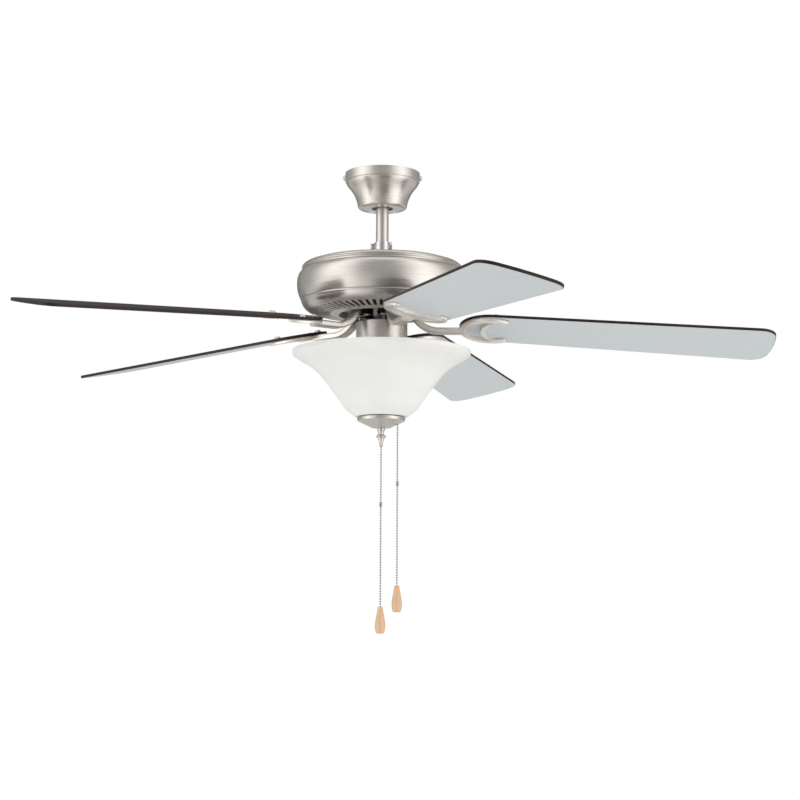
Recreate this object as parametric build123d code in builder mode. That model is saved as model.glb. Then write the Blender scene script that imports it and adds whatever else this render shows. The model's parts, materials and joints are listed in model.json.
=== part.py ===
from build123d import *
from math import asin, cos, degrees, radians, sin, sqrt, tan
import os

# Five-blade ceiling fan with a bowl light, hung on a ball and socket.
# Millimetres, +Z up. The origin is on the fan's axis in the ceiling plane, so the
# fan hangs below it. Blade 1 points along +X and the blades turn about Z.

# Ceiling bracket
bracket_wall = 2.5
bracket_length = 104.0
bracket_width = 36.0
slot_spacing = 88.9
slot_width = 5.2
slot_length = 12.0
wire_hole_radius = 9.0
ear_width = 14.0
ear_height = 15.0
ear_clearance = 0.8
leg_width = 26.0
seat_wall = 6.0
seat_height = 11.0
seat_below_center = 5.0
tab_width = 4.0
tab_height = 4.0
tab_reach = 3.0
tab_drop = 1.0

# Canopy
canopy_radius = 63.3
canopy_height = 62.0
canopy_wall = 1.2
canopy_band = 15.5
canopy_step = 1.5
canopy_waist_radius = 41.2
canopy_edge = 5.0
canopy_lip_radius = 34.7
canopy_plate_wall = 1.5
canopy_plate_margin = 3.0
canopy_hole_radius = 18.4
canopy_screw_drop = 7.8
canopy_screw_radius = 2.2
canopy_screw_reach = 4.5
canopy_head_radius = 4.6
canopy_head_height = 4.0

# Hanger ball and downrod
ball_radius = 24.0
ball_drop = 31.0
ball_above = 14.0
ball_below = 17.0
ball_clearance = 0.3
groove_depth = 4.5
groove_side_gap = 0.7
rod_radius = 10.65
rod_wall = 2.0
rod_length = 132.0
rod_above_ball = 20.0
fit_clearance = 0.05
ball_pin_radius = 3.0
ball_pin_length = 40.0
ball_pin_rise = 9.0

# Yoke that joins the rod to the motor
yoke_wall = 2.0
yoke_grip = 23.5
yoke_floor = 6.0
yoke_neck_radius = 20.0
yoke_flange_radius = 48.0
yoke_flange_wall = 4.5
yoke_pin_radius = 4.0
yoke_pin_drop = 8.0
yoke_boss_radius = 6.5
yoke_boss_span = 26.4
yoke_pin_head_radius = 6.0
yoke_pin_head = 6.5
yoke_pin_tail = 3.5
clip_wire_radius = 1.0
clip_leg = 9.0
clip_width = 6.6
set_screw_radius = 3.0
set_screw_reach = 5.5
set_screw_head_radius = 5.0
set_screw_head = 4.0
set_screw_rise = 7.0
set_screw_angles = (60.0, 120.0)

# Motor housing
housing_wall = 1.2
lid_rise = 9.5
lid_height = 18.5
lid_flat_radius = 60.0
lid_dome_radius = 118.0
lid_dome_drop = 2.5
lid_shoulder_radius = 134.0
lid_shoulder_drop = 8.5
lid_bead_drop = 13.0
lid_bead = 0.9
seam_radius = 135.5
shell_height = 50.0
belly_radius = 144.0
belly_drop = 22.0
pan_bead = 0.8
pan_bead_height = 3.0
pan_depth = 24.0
pan_turn_radius = 120.0
pan_turn_rise = 6.5
pan_hole_radius = 72.6
pan_slot_count = 60
pan_slot_width = 5.4
pan_slot_inner = 86.0
pan_slot_outer = 119.0
lid_screw_circle = 34.0
lid_screw_count = 4
lid_screw_radius = 2.0
lid_screw_head_radius = 4.0
lid_screw_head = 2.4

# Motor
shaft_radius = 7.5
shaft_bore = 4.5
shaft_socket = 11.0
shaft_thread_radius = 6.0
shaft_thread = 11.0
bearing_radius = 17.5
bearing_width = 11.0
rotor_recess = 7.0
rotor_height = 62.0
rotor_radius = 84.0
rotor_wall = 4.0
rotor_plate = 6.0
rotor_eye_radius = 9.5
bearing_lip = 2.5
bearing_end_gap = 0.3
bearing_boss_wall = 4.5
core_radius = 59.5
core_height = 22.0
core_slot_count = 18
core_slot_width = 4.0
core_slot_depth = 14.0
air_gap = 0.6
winding_inner = 36.0
winding_outer = 56.0
winding_height = 9.0
wire_radius = 1.0
wire_side_gap = 0.3
wire_gather = 0.45
wire_above_rod = 4.0

# Blades and blade arms
blade_count = 5
blade_tip_radius = 660.4
blade_root_radius = 131.0
blade_root_width = 111.8
blade_tip_width = 137.6
blade_tip_sag = 8.0
blade_tip_corner = 28.0
blade_thickness = 5.0
blade_pitch = 12.1
blade_droop = 3.3
blade_gauge_radius = 250.0
blade_gauge_drop = 34.0
loop_setback = 52.0
loop_radius = 47.0
loop_width = 11.0
loop_opening = 120.0
loop_thickness = 5.5
loop_round = 2.0
crescent_setback = 36.0
crescent_width = 7.5
crescent_tip_setback = 62.0
crescent_tip_offset = 44.0
arm_width = 20.0
arm_thickness = 10.5
arm_round = 3.2
arm_drop = 33.5
arm_inner_radius = 28.0
arm_bend_radius = 53.0
arm_foot_radius = 71.0
arm_upper_fillet = 11.0
arm_lower_fillet = 47.0
arm_past_root = 8.0
flange_width = 32.0
flange_outer_radius = 46.0
arm_screw_circle = 37.0
arm_screw_offset = 9.5
arm_screw_radius = 2.5
arm_screw_head_radius = 4.6
arm_screw_head = 3.2
blade_screw_prong_setback = 59.0
blade_screw_prong_offset = 46.0
blade_screw_root_inset = 5.5
blade_screw_radius = 2.4
blade_screw_bite = 4.5
blade_screw_head_radius = 5.5
blade_screw_head = 3.4
screw_clearance = 0.1

# Switch housing and what it holds
switch_drop = 19.0
switch_radius = 43.3
switch_height = 43.0
switch_wall = 1.2
switch_round = 2.0
nut_height = 4.0
shaft_nut_radius = 11.0
speed_switch_length = 30.0
speed_switch_width = 24.0
speed_switch_height = 16.0
light_switch_size = 20.0
light_switch_height = 16.0
nozzle_radius = 4.2
speed_nozzle = 7.0
light_nozzle = 8.0
capacitor_length = 16.0
capacitor_width = 26.0
capacitor_height = 24.0
capacitor_center = 28.0
lever_drop = 19.0
lever_travel = 6.0
lever_width = 5.0
lever_height = 3.6
lever_gap = 0.3
lever_proud = 5.0
reverse_length = 24.0
reverse_depth = 10.0
reverse_height = 12.0
reverse_pocket = 4.5

# Light kit
fitter_wall = 1.5
fitter_rise = 10.0
fitter_screw_radius = 1.8
fitter_screw_head_radius = 3.4
fitter_screw_head = 2.2
fitter_screw_rise = 4.0
fitter_screw_angles = (90.0, 210.0, 330.0)
tube_radius = 3.6
tube_bore = 2.3
tube_above_fitter = 5.0
tube_nut_radius = 6.5
switch_nut_radius = 7.0
bracket_leg = 36.0
bracket_leg_width = 20.0
bracket_leg_wall = 2.0
bracket_leg_offset = 23.0
socket_drop = 25.0
socket_radius = 13.5
socket_length = 30.0
socket_bore = 12.2
socket_depth = 22.0
lamp_base_radius = 11.9
lamp_radius = 17.0
lamp_length = 64.0
lamp_neck = 24.0
bowl_rim_drop = 49.0
bowl_height = 112.0
bowl_rim_radius = 150.0
bowl_foot_radius = 44.0
bowl_wall = 4.0
bowl_lip = 8.5
bowl_lip_step = 2.0
bowl_flare_drop = 39.0
bowl_flare_radius = 104.0
bowl_waist_drop = 84.0
bowl_waist_radius = 70.5
bowl_hole_radius = 31.5
washer_wall = 1.0
washer_inner = 33.0
washer_outer = 38.5
cap_radius = 40.0
cap_band = 6.0
cap_height = 17.0
cap_wall = 1.2
cap_foot_radius = 16.4
finial_length = 33.0
finial_collar_radius = 6.5
finial_collar_height = 5.0
finial_collar_fall = 1.2
finial_neck_radius = 4.8
finial_ring_radius = 8.5
finial_ring_drop = 15.0
finial_tip_radius = 3.4
finial_bite = 12.0

# Pull chains
chain_radius = 1.6
chain_joint_gap = 0.3
chain_in_nozzle = 2.0
fan_chain_drop = 91.7
light_chain_offset = 27.4
light_chain_drop = 106.5
connector_radius = 2.6
connector_length = 8.0
lower_chain_length = 166.0
pendant_length = 44.0
pendant_radius = 8.7
pendant_top_radius = 4.0
pendant_base_radius = 5.6
pendant_edge = 0.8

# Heights and places that follow from the sizes above
ball_z = -ball_drop
rod_top_z = ball_z + rod_above_ball
rod_bottom_z = rod_top_z - rod_length
yoke_top_z = rod_bottom_z + yoke_grip
yoke_pin_z = yoke_top_z - yoke_pin_drop
lid_top_z = rod_bottom_z - lid_rise
upper_seam_z = lid_top_z - lid_height
lower_seam_z = upper_seam_z - shell_height
pan_bottom_z = lower_seam_z - pan_depth
rotor_bottom_z = pan_bottom_z + rotor_recess
rotor_top_z = rotor_bottom_z + rotor_height
rotor_mid_z = (rotor_top_z + rotor_bottom_z) / 2
blade_z = rotor_bottom_z - blade_gauge_drop
switch_top_z = rotor_bottom_z - switch_drop
fitter_top_z = switch_top_z - switch_height
fitter_bottom_z = fitter_top_z - fitter_wall
tube_top_z = fitter_top_z + tube_above_fitter
bowl_rim_z = switch_top_z - bowl_rim_drop
bowl_foot_z = bowl_rim_z - bowl_height
cap_top_z = bowl_foot_z - washer_wall
cap_bottom_z = cap_top_z - cap_height
finial_bottom_z = cap_bottom_z - finial_length
yoke_radius = rod_radius + fit_clearance + yoke_wall
yoke_flange_z = lid_top_z - housing_wall
blade_step = 360.0 / blade_count
loop_center = blade_root_radius + loop_setback
crescent_outer = blade_root_radius + crescent_setback
crescent_tip = blade_root_radius + crescent_tip_setback
arm_outer_radius = blade_root_radius + arm_past_root
blade_screw_places = (
    (blade_root_radius + blade_screw_prong_setback, -blade_screw_prong_offset),
    (blade_root_radius + blade_screw_prong_setback, blade_screw_prong_offset),
    (blade_root_radius + blade_screw_root_inset, 0),
)


def radial_plane(angle, height):
    """Plane through the axis at a height whose Z points outward at an angle about the axis."""
    return Plane(origin=(0, 0, height), z_dir=(cos(radians(angle)), sin(radians(angle)), 0))


def blade_plane(radius):
    """Plane of a blade's underside at a radius: X runs outward, Y across, Z up through the blade."""
    droop = radians(blade_droop)
    pitch = radians(blade_pitch)
    height = blade_z + (blade_gauge_radius - radius) * tan(droop)
    return Plane(
        origin=(radius, 0, height),
        x_dir=(cos(droop), 0, -sin(droop)),
        z_dir=(sin(droop) * cos(pitch), cos(droop) * sin(pitch), cos(droop) * cos(pitch)),
    )


def across_blade(radius, offset):
    """Place on the blade plane for a point at a radius from the axis and an offset across the blade."""
    return ((radius - blade_root_radius) / cos(radians(blade_droop)), offset)


os.makedirs("parts", exist_ok=True)

# Ceiling bracket: a slotted plate with two ears for the canopy and an open seat for the ball
seat_radius = ball_radius + ball_clearance
seat_ring_radius = seat_radius + seat_wall
seat_top_z = ball_z - seat_below_center
seat_bottom_z = seat_top_z - seat_height
ear_face = canopy_radius - canopy_wall - ear_clearance
leg_center = seat_ring_radius - bracket_wall / 2
groove_floor = ball_radius - groove_depth
tab_inner = ball_radius - tab_reach
seat_mouth = 2 * (rod_radius + ball_clearance)

with BuildPart() as hanger_bracket:
    with BuildSketch():
        Rectangle(bracket_length, bracket_width)
        Rectangle(2 * ear_face, ear_width)
        with Locations((-slot_spacing / 2, 0), (slot_spacing / 2, 0)):
            SlotOverall(slot_length, slot_width, mode=Mode.SUBTRACT)
        Circle(wire_hole_radius, mode=Mode.SUBTRACT)
    extrude(amount=-bracket_wall)
    ear_center = ear_face - bracket_wall / 2
    with Locations((-ear_center, 0, 0), (ear_center, 0, 0)):
        Box(bracket_wall, ear_width, ear_height, align=(Align.CENTER, Align.CENTER, Align.MAX))
    with Locations((-leg_center, 0, 0), (leg_center, 0, 0)):
        Box(bracket_wall, leg_width, -seat_bottom_z, align=(Align.CENTER, Align.CENTER, Align.MAX))
    with BuildSketch(Plane.XY.offset(seat_bottom_z)):
        Circle(seat_ring_radius)
    extrude(amount=seat_height)
    with Locations((0, 0, ball_z)):
        Sphere(seat_radius, mode=Mode.SUBTRACT)
    with Locations((0, -seat_ring_radius / 2, seat_bottom_z)):
        Box(
            seat_mouth,
            seat_ring_radius,
            seat_height,
            align=(Align.CENTER, Align.CENTER, Align.MIN),
            mode=Mode.SUBTRACT,
        )
    with Locations((tab_inner, 0, seat_top_z - tab_drop)):
        Box(
            seat_ring_radius - tab_inner,
            tab_width,
            tab_height,
            align=(Align.MIN, Align.CENTER, Align.MAX),
        )
    with Locations((-ear_center, 0, -canopy_screw_drop), (ear_center, 0, -canopy_screw_drop)):
        Cylinder(
            canopy_screw_radius + fit_clearance,
            2 * bracket_wall,
            rotation=(0, 90, 0),
            mode=Mode.SUBTRACT,
        )
hanger_bracket.part.label = "hanger_bracket"
export_step(hanger_bracket.part, "parts/hanger_bracket.step")

# Canopy: a spun cover with a straight band, a flare and a turned-in lip
canopy_flare_z = -canopy_band - canopy_step
canopy_foot_z = -canopy_height + canopy_edge
canopy_flare_radius = canopy_radius - canopy_step
flare_width = canopy_flare_radius - canopy_waist_radius
flare_height = canopy_flare_z - canopy_foot_z
canopy_turn_radius = canopy_waist_radius - 0.75 * canopy_edge
with BuildPart() as canopy:
    with BuildSketch(Plane.YZ):
        with BuildLine():
            Polyline(
                (canopy_radius, 0),
                (canopy_radius, -canopy_band),
                (canopy_flare_radius, canopy_flare_z),
            )
            ThreePointArc(
                (canopy_flare_radius, canopy_flare_z),
                (canopy_waist_radius + 0.29 * flare_width, canopy_flare_z - 0.54 * flare_height),
                (canopy_waist_radius, canopy_foot_z),
            )
            RadiusArc(
                (canopy_waist_radius, canopy_foot_z),
                (canopy_turn_radius, -canopy_height),
                canopy_edge,
            )
            Line((canopy_turn_radius, -canopy_height), (canopy_lip_radius, -canopy_height))
            offset(amount=canopy_wall, side=Side.RIGHT)
        make_face()
    revolve(axis=Axis.Z)
    with Locations((0, 0, -canopy_screw_drop)):
        Cylinder(
            canopy_screw_radius + screw_clearance,
            3 * canopy_radius,
            rotation=(0, 90, 0),
            mode=Mode.SUBTRACT,
        )
canopy.part.label = "canopy"
export_step(canopy.part, "parts/canopy.step")

# Plate that lies on the canopy's lip and leaves the rod room to sway
canopy_plate_z = -canopy_height + canopy_wall
with BuildPart() as canopy_plate:
    with BuildSketch(Plane.XY.offset(canopy_plate_z)):
        Circle(canopy_lip_radius + canopy_plate_margin - canopy_wall)
        Circle(canopy_hole_radius, mode=Mode.SUBTRACT)
    extrude(amount=canopy_plate_wall)
canopy_plate.part.label = "canopy_plate"
export_step(canopy_plate.part, "parts/canopy_plate.step")

# Two screws that hold the canopy to the bracket's ears
canopy_shank = canopy_wall + ear_clearance + bracket_wall + canopy_screw_reach
with BuildPart() as canopy_screws:
    with BuildSketch(Plane.YZ.offset(canopy_radius)):
        with Locations((0, -canopy_screw_drop)):
            Circle(canopy_head_radius)
    extrude(amount=canopy_head_height)
    chamfer(canopy_screws.edges().sort_by(Axis.X)[-1], canopy_head_height / 5)
    with BuildSketch(Plane.YZ.offset(canopy_radius)):
        with Locations((0, -canopy_screw_drop)):
            Circle(canopy_screw_radius)
    extrude(amount=-canopy_shank)
    mirror(about=Plane.YZ)
canopy_screws.part.label = "canopy_screws"
export_step(canopy_screws.part, "parts/canopy_screws.step")

# Hanger ball, cut flat above and below, with the groove that the bracket's tab stands in
with BuildPart() as hanger_ball:
    with Locations((0, 0, ball_z)):
        Sphere(ball_radius)
    with Locations((0, 0, ball_z - ball_below)):
        Box(
            2 * ball_radius,
            2 * ball_radius,
            ball_above + ball_below,
            align=(Align.CENTER, Align.CENTER, Align.MIN),
            mode=Mode.INTERSECT,
        )
    with Locations((0, 0, ball_z)):
        Cylinder(rod_radius + fit_clearance, 2 * ball_radius, mode=Mode.SUBTRACT)
    with BuildSketch(Plane.XZ):
        with Locations((0, ball_z)):
            Circle(ball_radius + groove_depth)
            Circle(groove_floor, mode=Mode.SUBTRACT)
            with Locations((-ball_radius, 0)):
                Rectangle(2 * ball_radius, 3 * ball_radius, mode=Mode.SUBTRACT)
    extrude(amount=tab_width / 2 + groove_side_gap, both=True, mode=Mode.SUBTRACT)
    with Locations((0, 0, ball_z + ball_pin_rise)):
        Cylinder(
            ball_pin_radius + fit_clearance,
            2 * ball_radius,
            rotation=(90, 0, 0),
            mode=Mode.SUBTRACT,
        )
hanger_ball.part.label = "hanger_ball"
export_step(hanger_ball.part, "parts/hanger_ball.step")

# Cross pin that keeps the rod in the ball
with BuildPart() as ball_pin:
    with Locations((0, 0, ball_z + ball_pin_rise)):
        Cylinder(ball_pin_radius, ball_pin_length, rotation=(90, 0, 0))
    chamfer(ball_pin.edges().filter_by(GeomType.CIRCLE), ball_pin_radius / 5)
ball_pin.part.label = "ball_pin"
export_step(ball_pin.part, "parts/ball_pin.step")

# Downrod, a tube with a cross hole at each end
with BuildPart() as downrod:
    with BuildSketch(Plane.XY.offset(rod_bottom_z)):
        Circle(rod_radius)
        Circle(rod_radius - rod_wall, mode=Mode.SUBTRACT)
    extrude(amount=rod_length)
    with Locations((0, 0, ball_z + ball_pin_rise)):
        Cylinder(
            ball_pin_radius + fit_clearance,
            3 * rod_radius,
            rotation=(90, 0, 0),
            mode=Mode.SUBTRACT,
        )
    with Locations((0, 0, yoke_pin_z)):
        Cylinder(
            yoke_pin_radius + fit_clearance,
            3 * rod_radius,
            rotation=(0, 90, 0),
            mode=Mode.SUBTRACT,
        )
downrod.part.label = "downrod"
export_step(downrod.part, "parts/downrod.step")

# Yoke: a collar round the rod, a neck through the lid and a flange under it
yoke_floor_z = rod_bottom_z - fit_clearance
yoke_neck_z = yoke_floor_z - yoke_floor
shaft_top_z = yoke_flange_z - yoke_flange_wall + shaft_socket
with BuildPart() as yoke:
    with BuildSketch(Plane.XY.offset(yoke_neck_z)):
        Circle(yoke_radius)
    extrude(amount=yoke_top_z - yoke_neck_z)
    with BuildSketch(Plane.XY.offset(yoke_flange_z - yoke_flange_wall)):
        Circle(yoke_flange_radius)
    extrude(amount=yoke_flange_wall)
    with BuildSketch(Plane.XY.offset(yoke_flange_z)):
        Circle(yoke_neck_radius)
    extrude(amount=yoke_neck_z - yoke_flange_z)
    with Locations((0, 0, yoke_pin_z)):
        Cylinder(yoke_boss_radius, yoke_boss_span, rotation=(0, 90, 0))
    with BuildSketch(Plane.XY.offset(yoke_floor_z)):
        Circle(rod_radius + fit_clearance)
    extrude(amount=2 * yoke_grip, mode=Mode.SUBTRACT)
    with BuildSketch(Plane.XY.offset(yoke_flange_z - yoke_flange_wall)):
        Circle(shaft_radius + fit_clearance)
    extrude(amount=shaft_socket, mode=Mode.SUBTRACT)
    with Locations((0, 0, rod_bottom_z)):
        Cylinder(shaft_bore, 2 * yoke_grip, mode=Mode.SUBTRACT)
    with Locations((0, 0, yoke_pin_z)):
        Cylinder(
            yoke_pin_radius + fit_clearance,
            2 * yoke_boss_span,
            rotation=(0, 90, 0),
            mode=Mode.SUBTRACT,
        )
    for angle in set_screw_angles:
        with BuildSketch(radial_plane(angle, rod_bottom_z + set_screw_rise)):
            Circle(set_screw_radius + fit_clearance)
        extrude(amount=2 * yoke_radius, mode=Mode.SUBTRACT)
    with PolarLocations(lid_screw_circle, lid_screw_count, start_angle=45):
        with Locations((0, 0, yoke_flange_z)):
            Cylinder(lid_screw_radius + fit_clearance, 3 * yoke_flange_wall, mode=Mode.SUBTRACT)
yoke.part.label = "yoke"
export_step(yoke.part, "parts/yoke.step")

# Clevis pin through the yoke and the rod, headed on one side and drilled for the clip on the other
clip_x = yoke_boss_span / 2 + yoke_pin_tail / 2
with BuildPart() as yoke_pin:
    with BuildSketch(Plane.YZ.offset(-yoke_boss_span / 2)):
        with Locations((0, yoke_pin_z)):
            Circle(yoke_pin_radius)
    extrude(amount=yoke_boss_span + yoke_pin_tail)
    with BuildSketch(Plane.YZ.offset(-yoke_boss_span / 2)):
        with Locations((0, yoke_pin_z)):
            Circle(yoke_pin_head_radius)
    extrude(amount=-yoke_pin_head)
    fillet(yoke_pin.edges().sort_by(Axis.X)[0], yoke_pin_head / 3)
    with Locations((clip_x, 0, yoke_pin_z)):
        Cylinder(clip_wire_radius + screw_clearance, 3 * yoke_pin_radius, mode=Mode.SUBTRACT)
yoke_pin.part.label = "yoke_pin"
export_step(yoke_pin.part, "parts/yoke_pin.step")

# Hairpin clip: one straight leg through the pin, one bowed leg beside it
with BuildPart() as hairpin_clip:
    with BuildLine(Plane.YZ.offset(clip_x)) as clip_path:
        FilletPolyline(
            (0, yoke_pin_z - clip_leg),
            (0, yoke_pin_z + clip_leg),
            (clip_width, yoke_pin_z + clip_leg),
            (clip_width, yoke_pin_z - 0.8 * clip_leg),
            radius=0.45 * clip_width,
        )
    with BuildSketch(Plane(origin=clip_path.line @ 0, z_dir=clip_path.line % 0)):
        Circle(clip_wire_radius)
    sweep()
hairpin_clip.part.label = "hairpin_clip"
export_step(hairpin_clip.part, "parts/hairpin_clip.step")

# Two set screws that bear on the rod
with BuildPart() as yoke_screws:
    for angle in set_screw_angles:
        screw_plane = radial_plane(angle, rod_bottom_z + set_screw_rise)
        with BuildSketch(screw_plane.offset(rod_radius)):
            Circle(set_screw_radius)
        extrude(amount=yoke_wall + fit_clearance + set_screw_reach)
        with BuildSketch(screw_plane.offset(rod_radius + yoke_wall + fit_clearance + set_screw_reach)):
            RegularPolygon(set_screw_head_radius, 6)
        extrude(amount=set_screw_head)
yoke_screws.part.label = "yoke_screws"
export_step(yoke_screws.part, "parts/yoke_screws.step")

# Motor shaft: hollow, socketed in the yoke, with a threaded foot for the switch housing
with BuildPart() as motor_shaft:
    with BuildSketch(Plane.XY.offset(switch_top_z)):
        Circle(shaft_radius)
        Circle(shaft_bore, mode=Mode.SUBTRACT)
    extrude(amount=shaft_top_z - fit_clearance - switch_top_z)
    with BuildSketch(Plane.XY.offset(switch_top_z)):
        Circle(shaft_thread_radius)
        Circle(shaft_bore, mode=Mode.SUBTRACT)
    extrude(amount=-shaft_thread)
motor_shaft.part.label = "motor_shaft"
export_step(motor_shaft.part, "parts/motor_shaft.step")

# Lead wires: beside the cross pins in the rod, then gathered into the shaft's bore
wire_x = ball_pin_radius + wire_side_gap + wire_radius
wire_y = yoke_pin_radius + wire_side_gap + wire_radius
wire_turn_z = yoke_pin_z - 1.5 * yoke_pin_radius
with BuildPart() as lead_wires:
    for place_x, place_y in ((wire_x, wire_y), (-wire_x, wire_y), (wire_x, -wire_y)):
        with BuildLine() as wire_path:
            FilletPolyline(
                (place_x, place_y, rod_top_z + wire_above_rod),
                (place_x, place_y, wire_turn_z),
                (wire_gather * place_x, wire_gather * place_y, yoke_floor_z + 2 * wire_radius),
                (wire_gather * place_x, wire_gather * place_y, switch_top_z - shaft_thread),
                radius=5 * wire_radius,
            )
        with BuildSketch(Plane(origin=wire_path.line @ 0, z_dir=wire_path.line % 0)):
            Circle(wire_radius)
        sweep(path=wire_path.line)
lead_wires.part.label = "lead_wires"
export_step(lead_wires.part, "parts/lead_wires.step")

# Stator core with winding slots round its edge
core_bottom_z = rotor_mid_z - core_height / 2
with BuildPart() as stator_core:
    with BuildSketch(Plane.XY.offset(core_bottom_z)):
        Circle(core_radius)
        Circle(shaft_radius + fit_clearance, mode=Mode.SUBTRACT)
        with PolarLocations(core_radius - core_slot_depth / 2 + core_slot_width / 2, core_slot_count):
            SlotOverall(core_slot_depth + core_slot_width, core_slot_width, mode=Mode.SUBTRACT)
    extrude(amount=core_height)
stator_core.part.label = "stator_core"
export_step(stator_core.part, "parts/stator_core.step")

# End turns of the windings, one ring above the core and one below
with BuildPart() as windings:
    with BuildSketch(Plane.XY.offset(core_bottom_z + core_height)):
        Circle(winding_outer)
        Circle(winding_inner, mode=Mode.SUBTRACT)
    extrude(amount=winding_height)
    fillet(windings.faces().sort_by(Axis.Z)[-1].edges(), winding_height / 3)
    mirror(about=Plane.XY.offset(rotor_mid_z))
windings.part.label = "windings"
export_step(windings.part, "parts/windings.step")

# Two ball bearings on the shaft, drawn as closed rings
upper_bearing_z = rotor_top_z - bearing_lip - bearing_end_gap - bearing_width
lower_bearing_z = rotor_bottom_z + bearing_lip + bearing_end_gap
with BuildPart() as bearings:
    for base_z in (upper_bearing_z, lower_bearing_z):
        with BuildSketch(Plane.XY.offset(base_z)):
            Circle(bearing_radius)
            Circle(shaft_radius + fit_clearance, mode=Mode.SUBTRACT)
        extrude(amount=bearing_width)
bearings.part.label = "bearings"
export_step(bearings.part, "parts/bearings.step")

# Rotor bells: two cups that meet round the cage, each with a bearing pocket
pocket_radius = bearing_radius + fit_clearance
boss_radius = pocket_radius + bearing_boss_wall
boss_depth = bearing_lip + bearing_end_gap + bearing_width
with BuildPart() as rotor_upper_bell:
    with BuildSketch(Plane.XZ):
        with BuildLine():
            Polyline(
                (rotor_eye_radius, rotor_top_z),
                (rotor_radius, rotor_top_z),
                (rotor_radius, rotor_mid_z),
                (rotor_radius - rotor_wall, rotor_mid_z),
                (rotor_radius - rotor_wall, rotor_top_z - rotor_plate),
                (boss_radius, rotor_top_z - rotor_plate),
                (boss_radius, rotor_top_z - boss_depth),
                (pocket_radius, rotor_top_z - boss_depth),
                (pocket_radius, rotor_top_z - bearing_lip),
                (rotor_eye_radius, rotor_top_z - bearing_lip),
                close=True,
            )
        make_face()
    revolve(axis=Axis.Z)
    fillet(rotor_upper_bell.edges().group_by(Axis.Z)[-1].sort_by(SortBy.RADIUS)[-1], rotor_wall)
rotor_upper_bell.part.label = "rotor_upper_bell"
export_step(rotor_upper_bell.part, "parts/rotor_upper_bell.step")

arm_screw_radius_out = sqrt(arm_screw_circle**2 + arm_screw_offset**2)
arm_screw_half_angle = degrees(asin(arm_screw_offset / arm_screw_radius_out))
with BuildPart() as rotor_lower_bell:
    with BuildSketch(Plane.XZ):
        with BuildLine():
            Polyline(
                (rotor_eye_radius, rotor_bottom_z),
                (rotor_radius, rotor_bottom_z),
                (rotor_radius, rotor_mid_z),
                (rotor_radius - rotor_wall, rotor_mid_z),
                (rotor_radius - rotor_wall, rotor_bottom_z + rotor_plate),
                (boss_radius, rotor_bottom_z + rotor_plate),
                (boss_radius, rotor_bottom_z + boss_depth),
                (pocket_radius, rotor_bottom_z + boss_depth),
                (pocket_radius, rotor_bottom_z + bearing_lip),
                (rotor_eye_radius, rotor_bottom_z + bearing_lip),
                close=True,
            )
        make_face()
    revolve(axis=Axis.Z)
    fillet(rotor_lower_bell.edges().group_by(Axis.Z)[0].sort_by(SortBy.RADIUS)[-1], rotor_wall)
    for side in (-arm_screw_half_angle, arm_screw_half_angle):
        with BuildSketch(Plane.XY.offset(rotor_bottom_z)):
            with PolarLocations(arm_screw_radius_out, blade_count, start_angle=side):
                Circle(arm_screw_radius + fit_clearance)
        extrude(amount=rotor_plate, mode=Mode.SUBTRACT)
rotor_lower_bell.part.label = "rotor_lower_bell"
export_step(rotor_lower_bell.part, "parts/rotor_lower_bell.step")

# Rotor cage between the bells, a running gap outside the stator
with BuildPart() as rotor_cage:
    with BuildSketch(Plane.XY.offset(core_bottom_z)):
        Circle(rotor_radius - rotor_wall - fit_clearance)
        Circle(core_radius + air_gap, mode=Mode.SUBTRACT)
    extrude(amount=core_height)
rotor_cage.part.label = "rotor_cage"
export_step(rotor_cage.part, "parts/rotor_cage.step")

# Housing lid: flat crown, rounded shoulder and a bead above the seam
lid_hole_radius = yoke_neck_radius + ball_clearance
with BuildPart() as housing_lid:
    with BuildSketch(Plane.XZ):
        with BuildLine():
            Polyline(
                (lid_hole_radius, lid_top_z),
                (lid_flat_radius, lid_top_z),
                (lid_dome_radius, lid_top_z - lid_dome_drop),
            )
            ThreePointArc(
                (lid_dome_radius, lid_top_z - lid_dome_drop),
                (
                    lid_dome_radius + 0.66 * (lid_shoulder_radius - lid_dome_radius),
                    lid_top_z - lid_dome_drop - 0.3 * (lid_shoulder_drop - lid_dome_drop),
                ),
                (lid_shoulder_radius, lid_top_z - lid_shoulder_drop),
            )
            Polyline(
                (lid_shoulder_radius, lid_top_z - lid_shoulder_drop),
                (seam_radius - lid_bead, lid_top_z - lid_bead_drop),
                (seam_radius, lid_top_z - lid_bead_drop - lid_bead),
                (seam_radius, upper_seam_z),
            )
            offset(amount=housing_wall, side=Side.RIGHT)
        make_face()
    revolve(axis=Axis.Z)
    with BuildSketch(Plane.XY.offset(lid_top_z)):
        with PolarLocations(lid_screw_circle, lid_screw_count, start_angle=45):
            Circle(lid_screw_radius + screw_clearance)
    extrude(amount=-2 * housing_wall, mode=Mode.SUBTRACT)
housing_lid.part.label = "housing_lid"
export_step(housing_lid.part, "parts/housing_lid.step")

# Housing shell: the bulged band between the two seams
with BuildPart() as housing_shell:
    with BuildSketch(Plane.XZ):
        with BuildLine():
            ThreePointArc(
                (seam_radius, upper_seam_z),
                (belly_radius, upper_seam_z - belly_drop),
                (seam_radius, lower_seam_z),
            )
            offset(amount=housing_wall, side=Side.RIGHT)
        make_face()
    revolve(axis=Axis.Z)
housing_shell.part.label = "housing_shell"
export_step(housing_shell.part, "parts/housing_shell.step")

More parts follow.
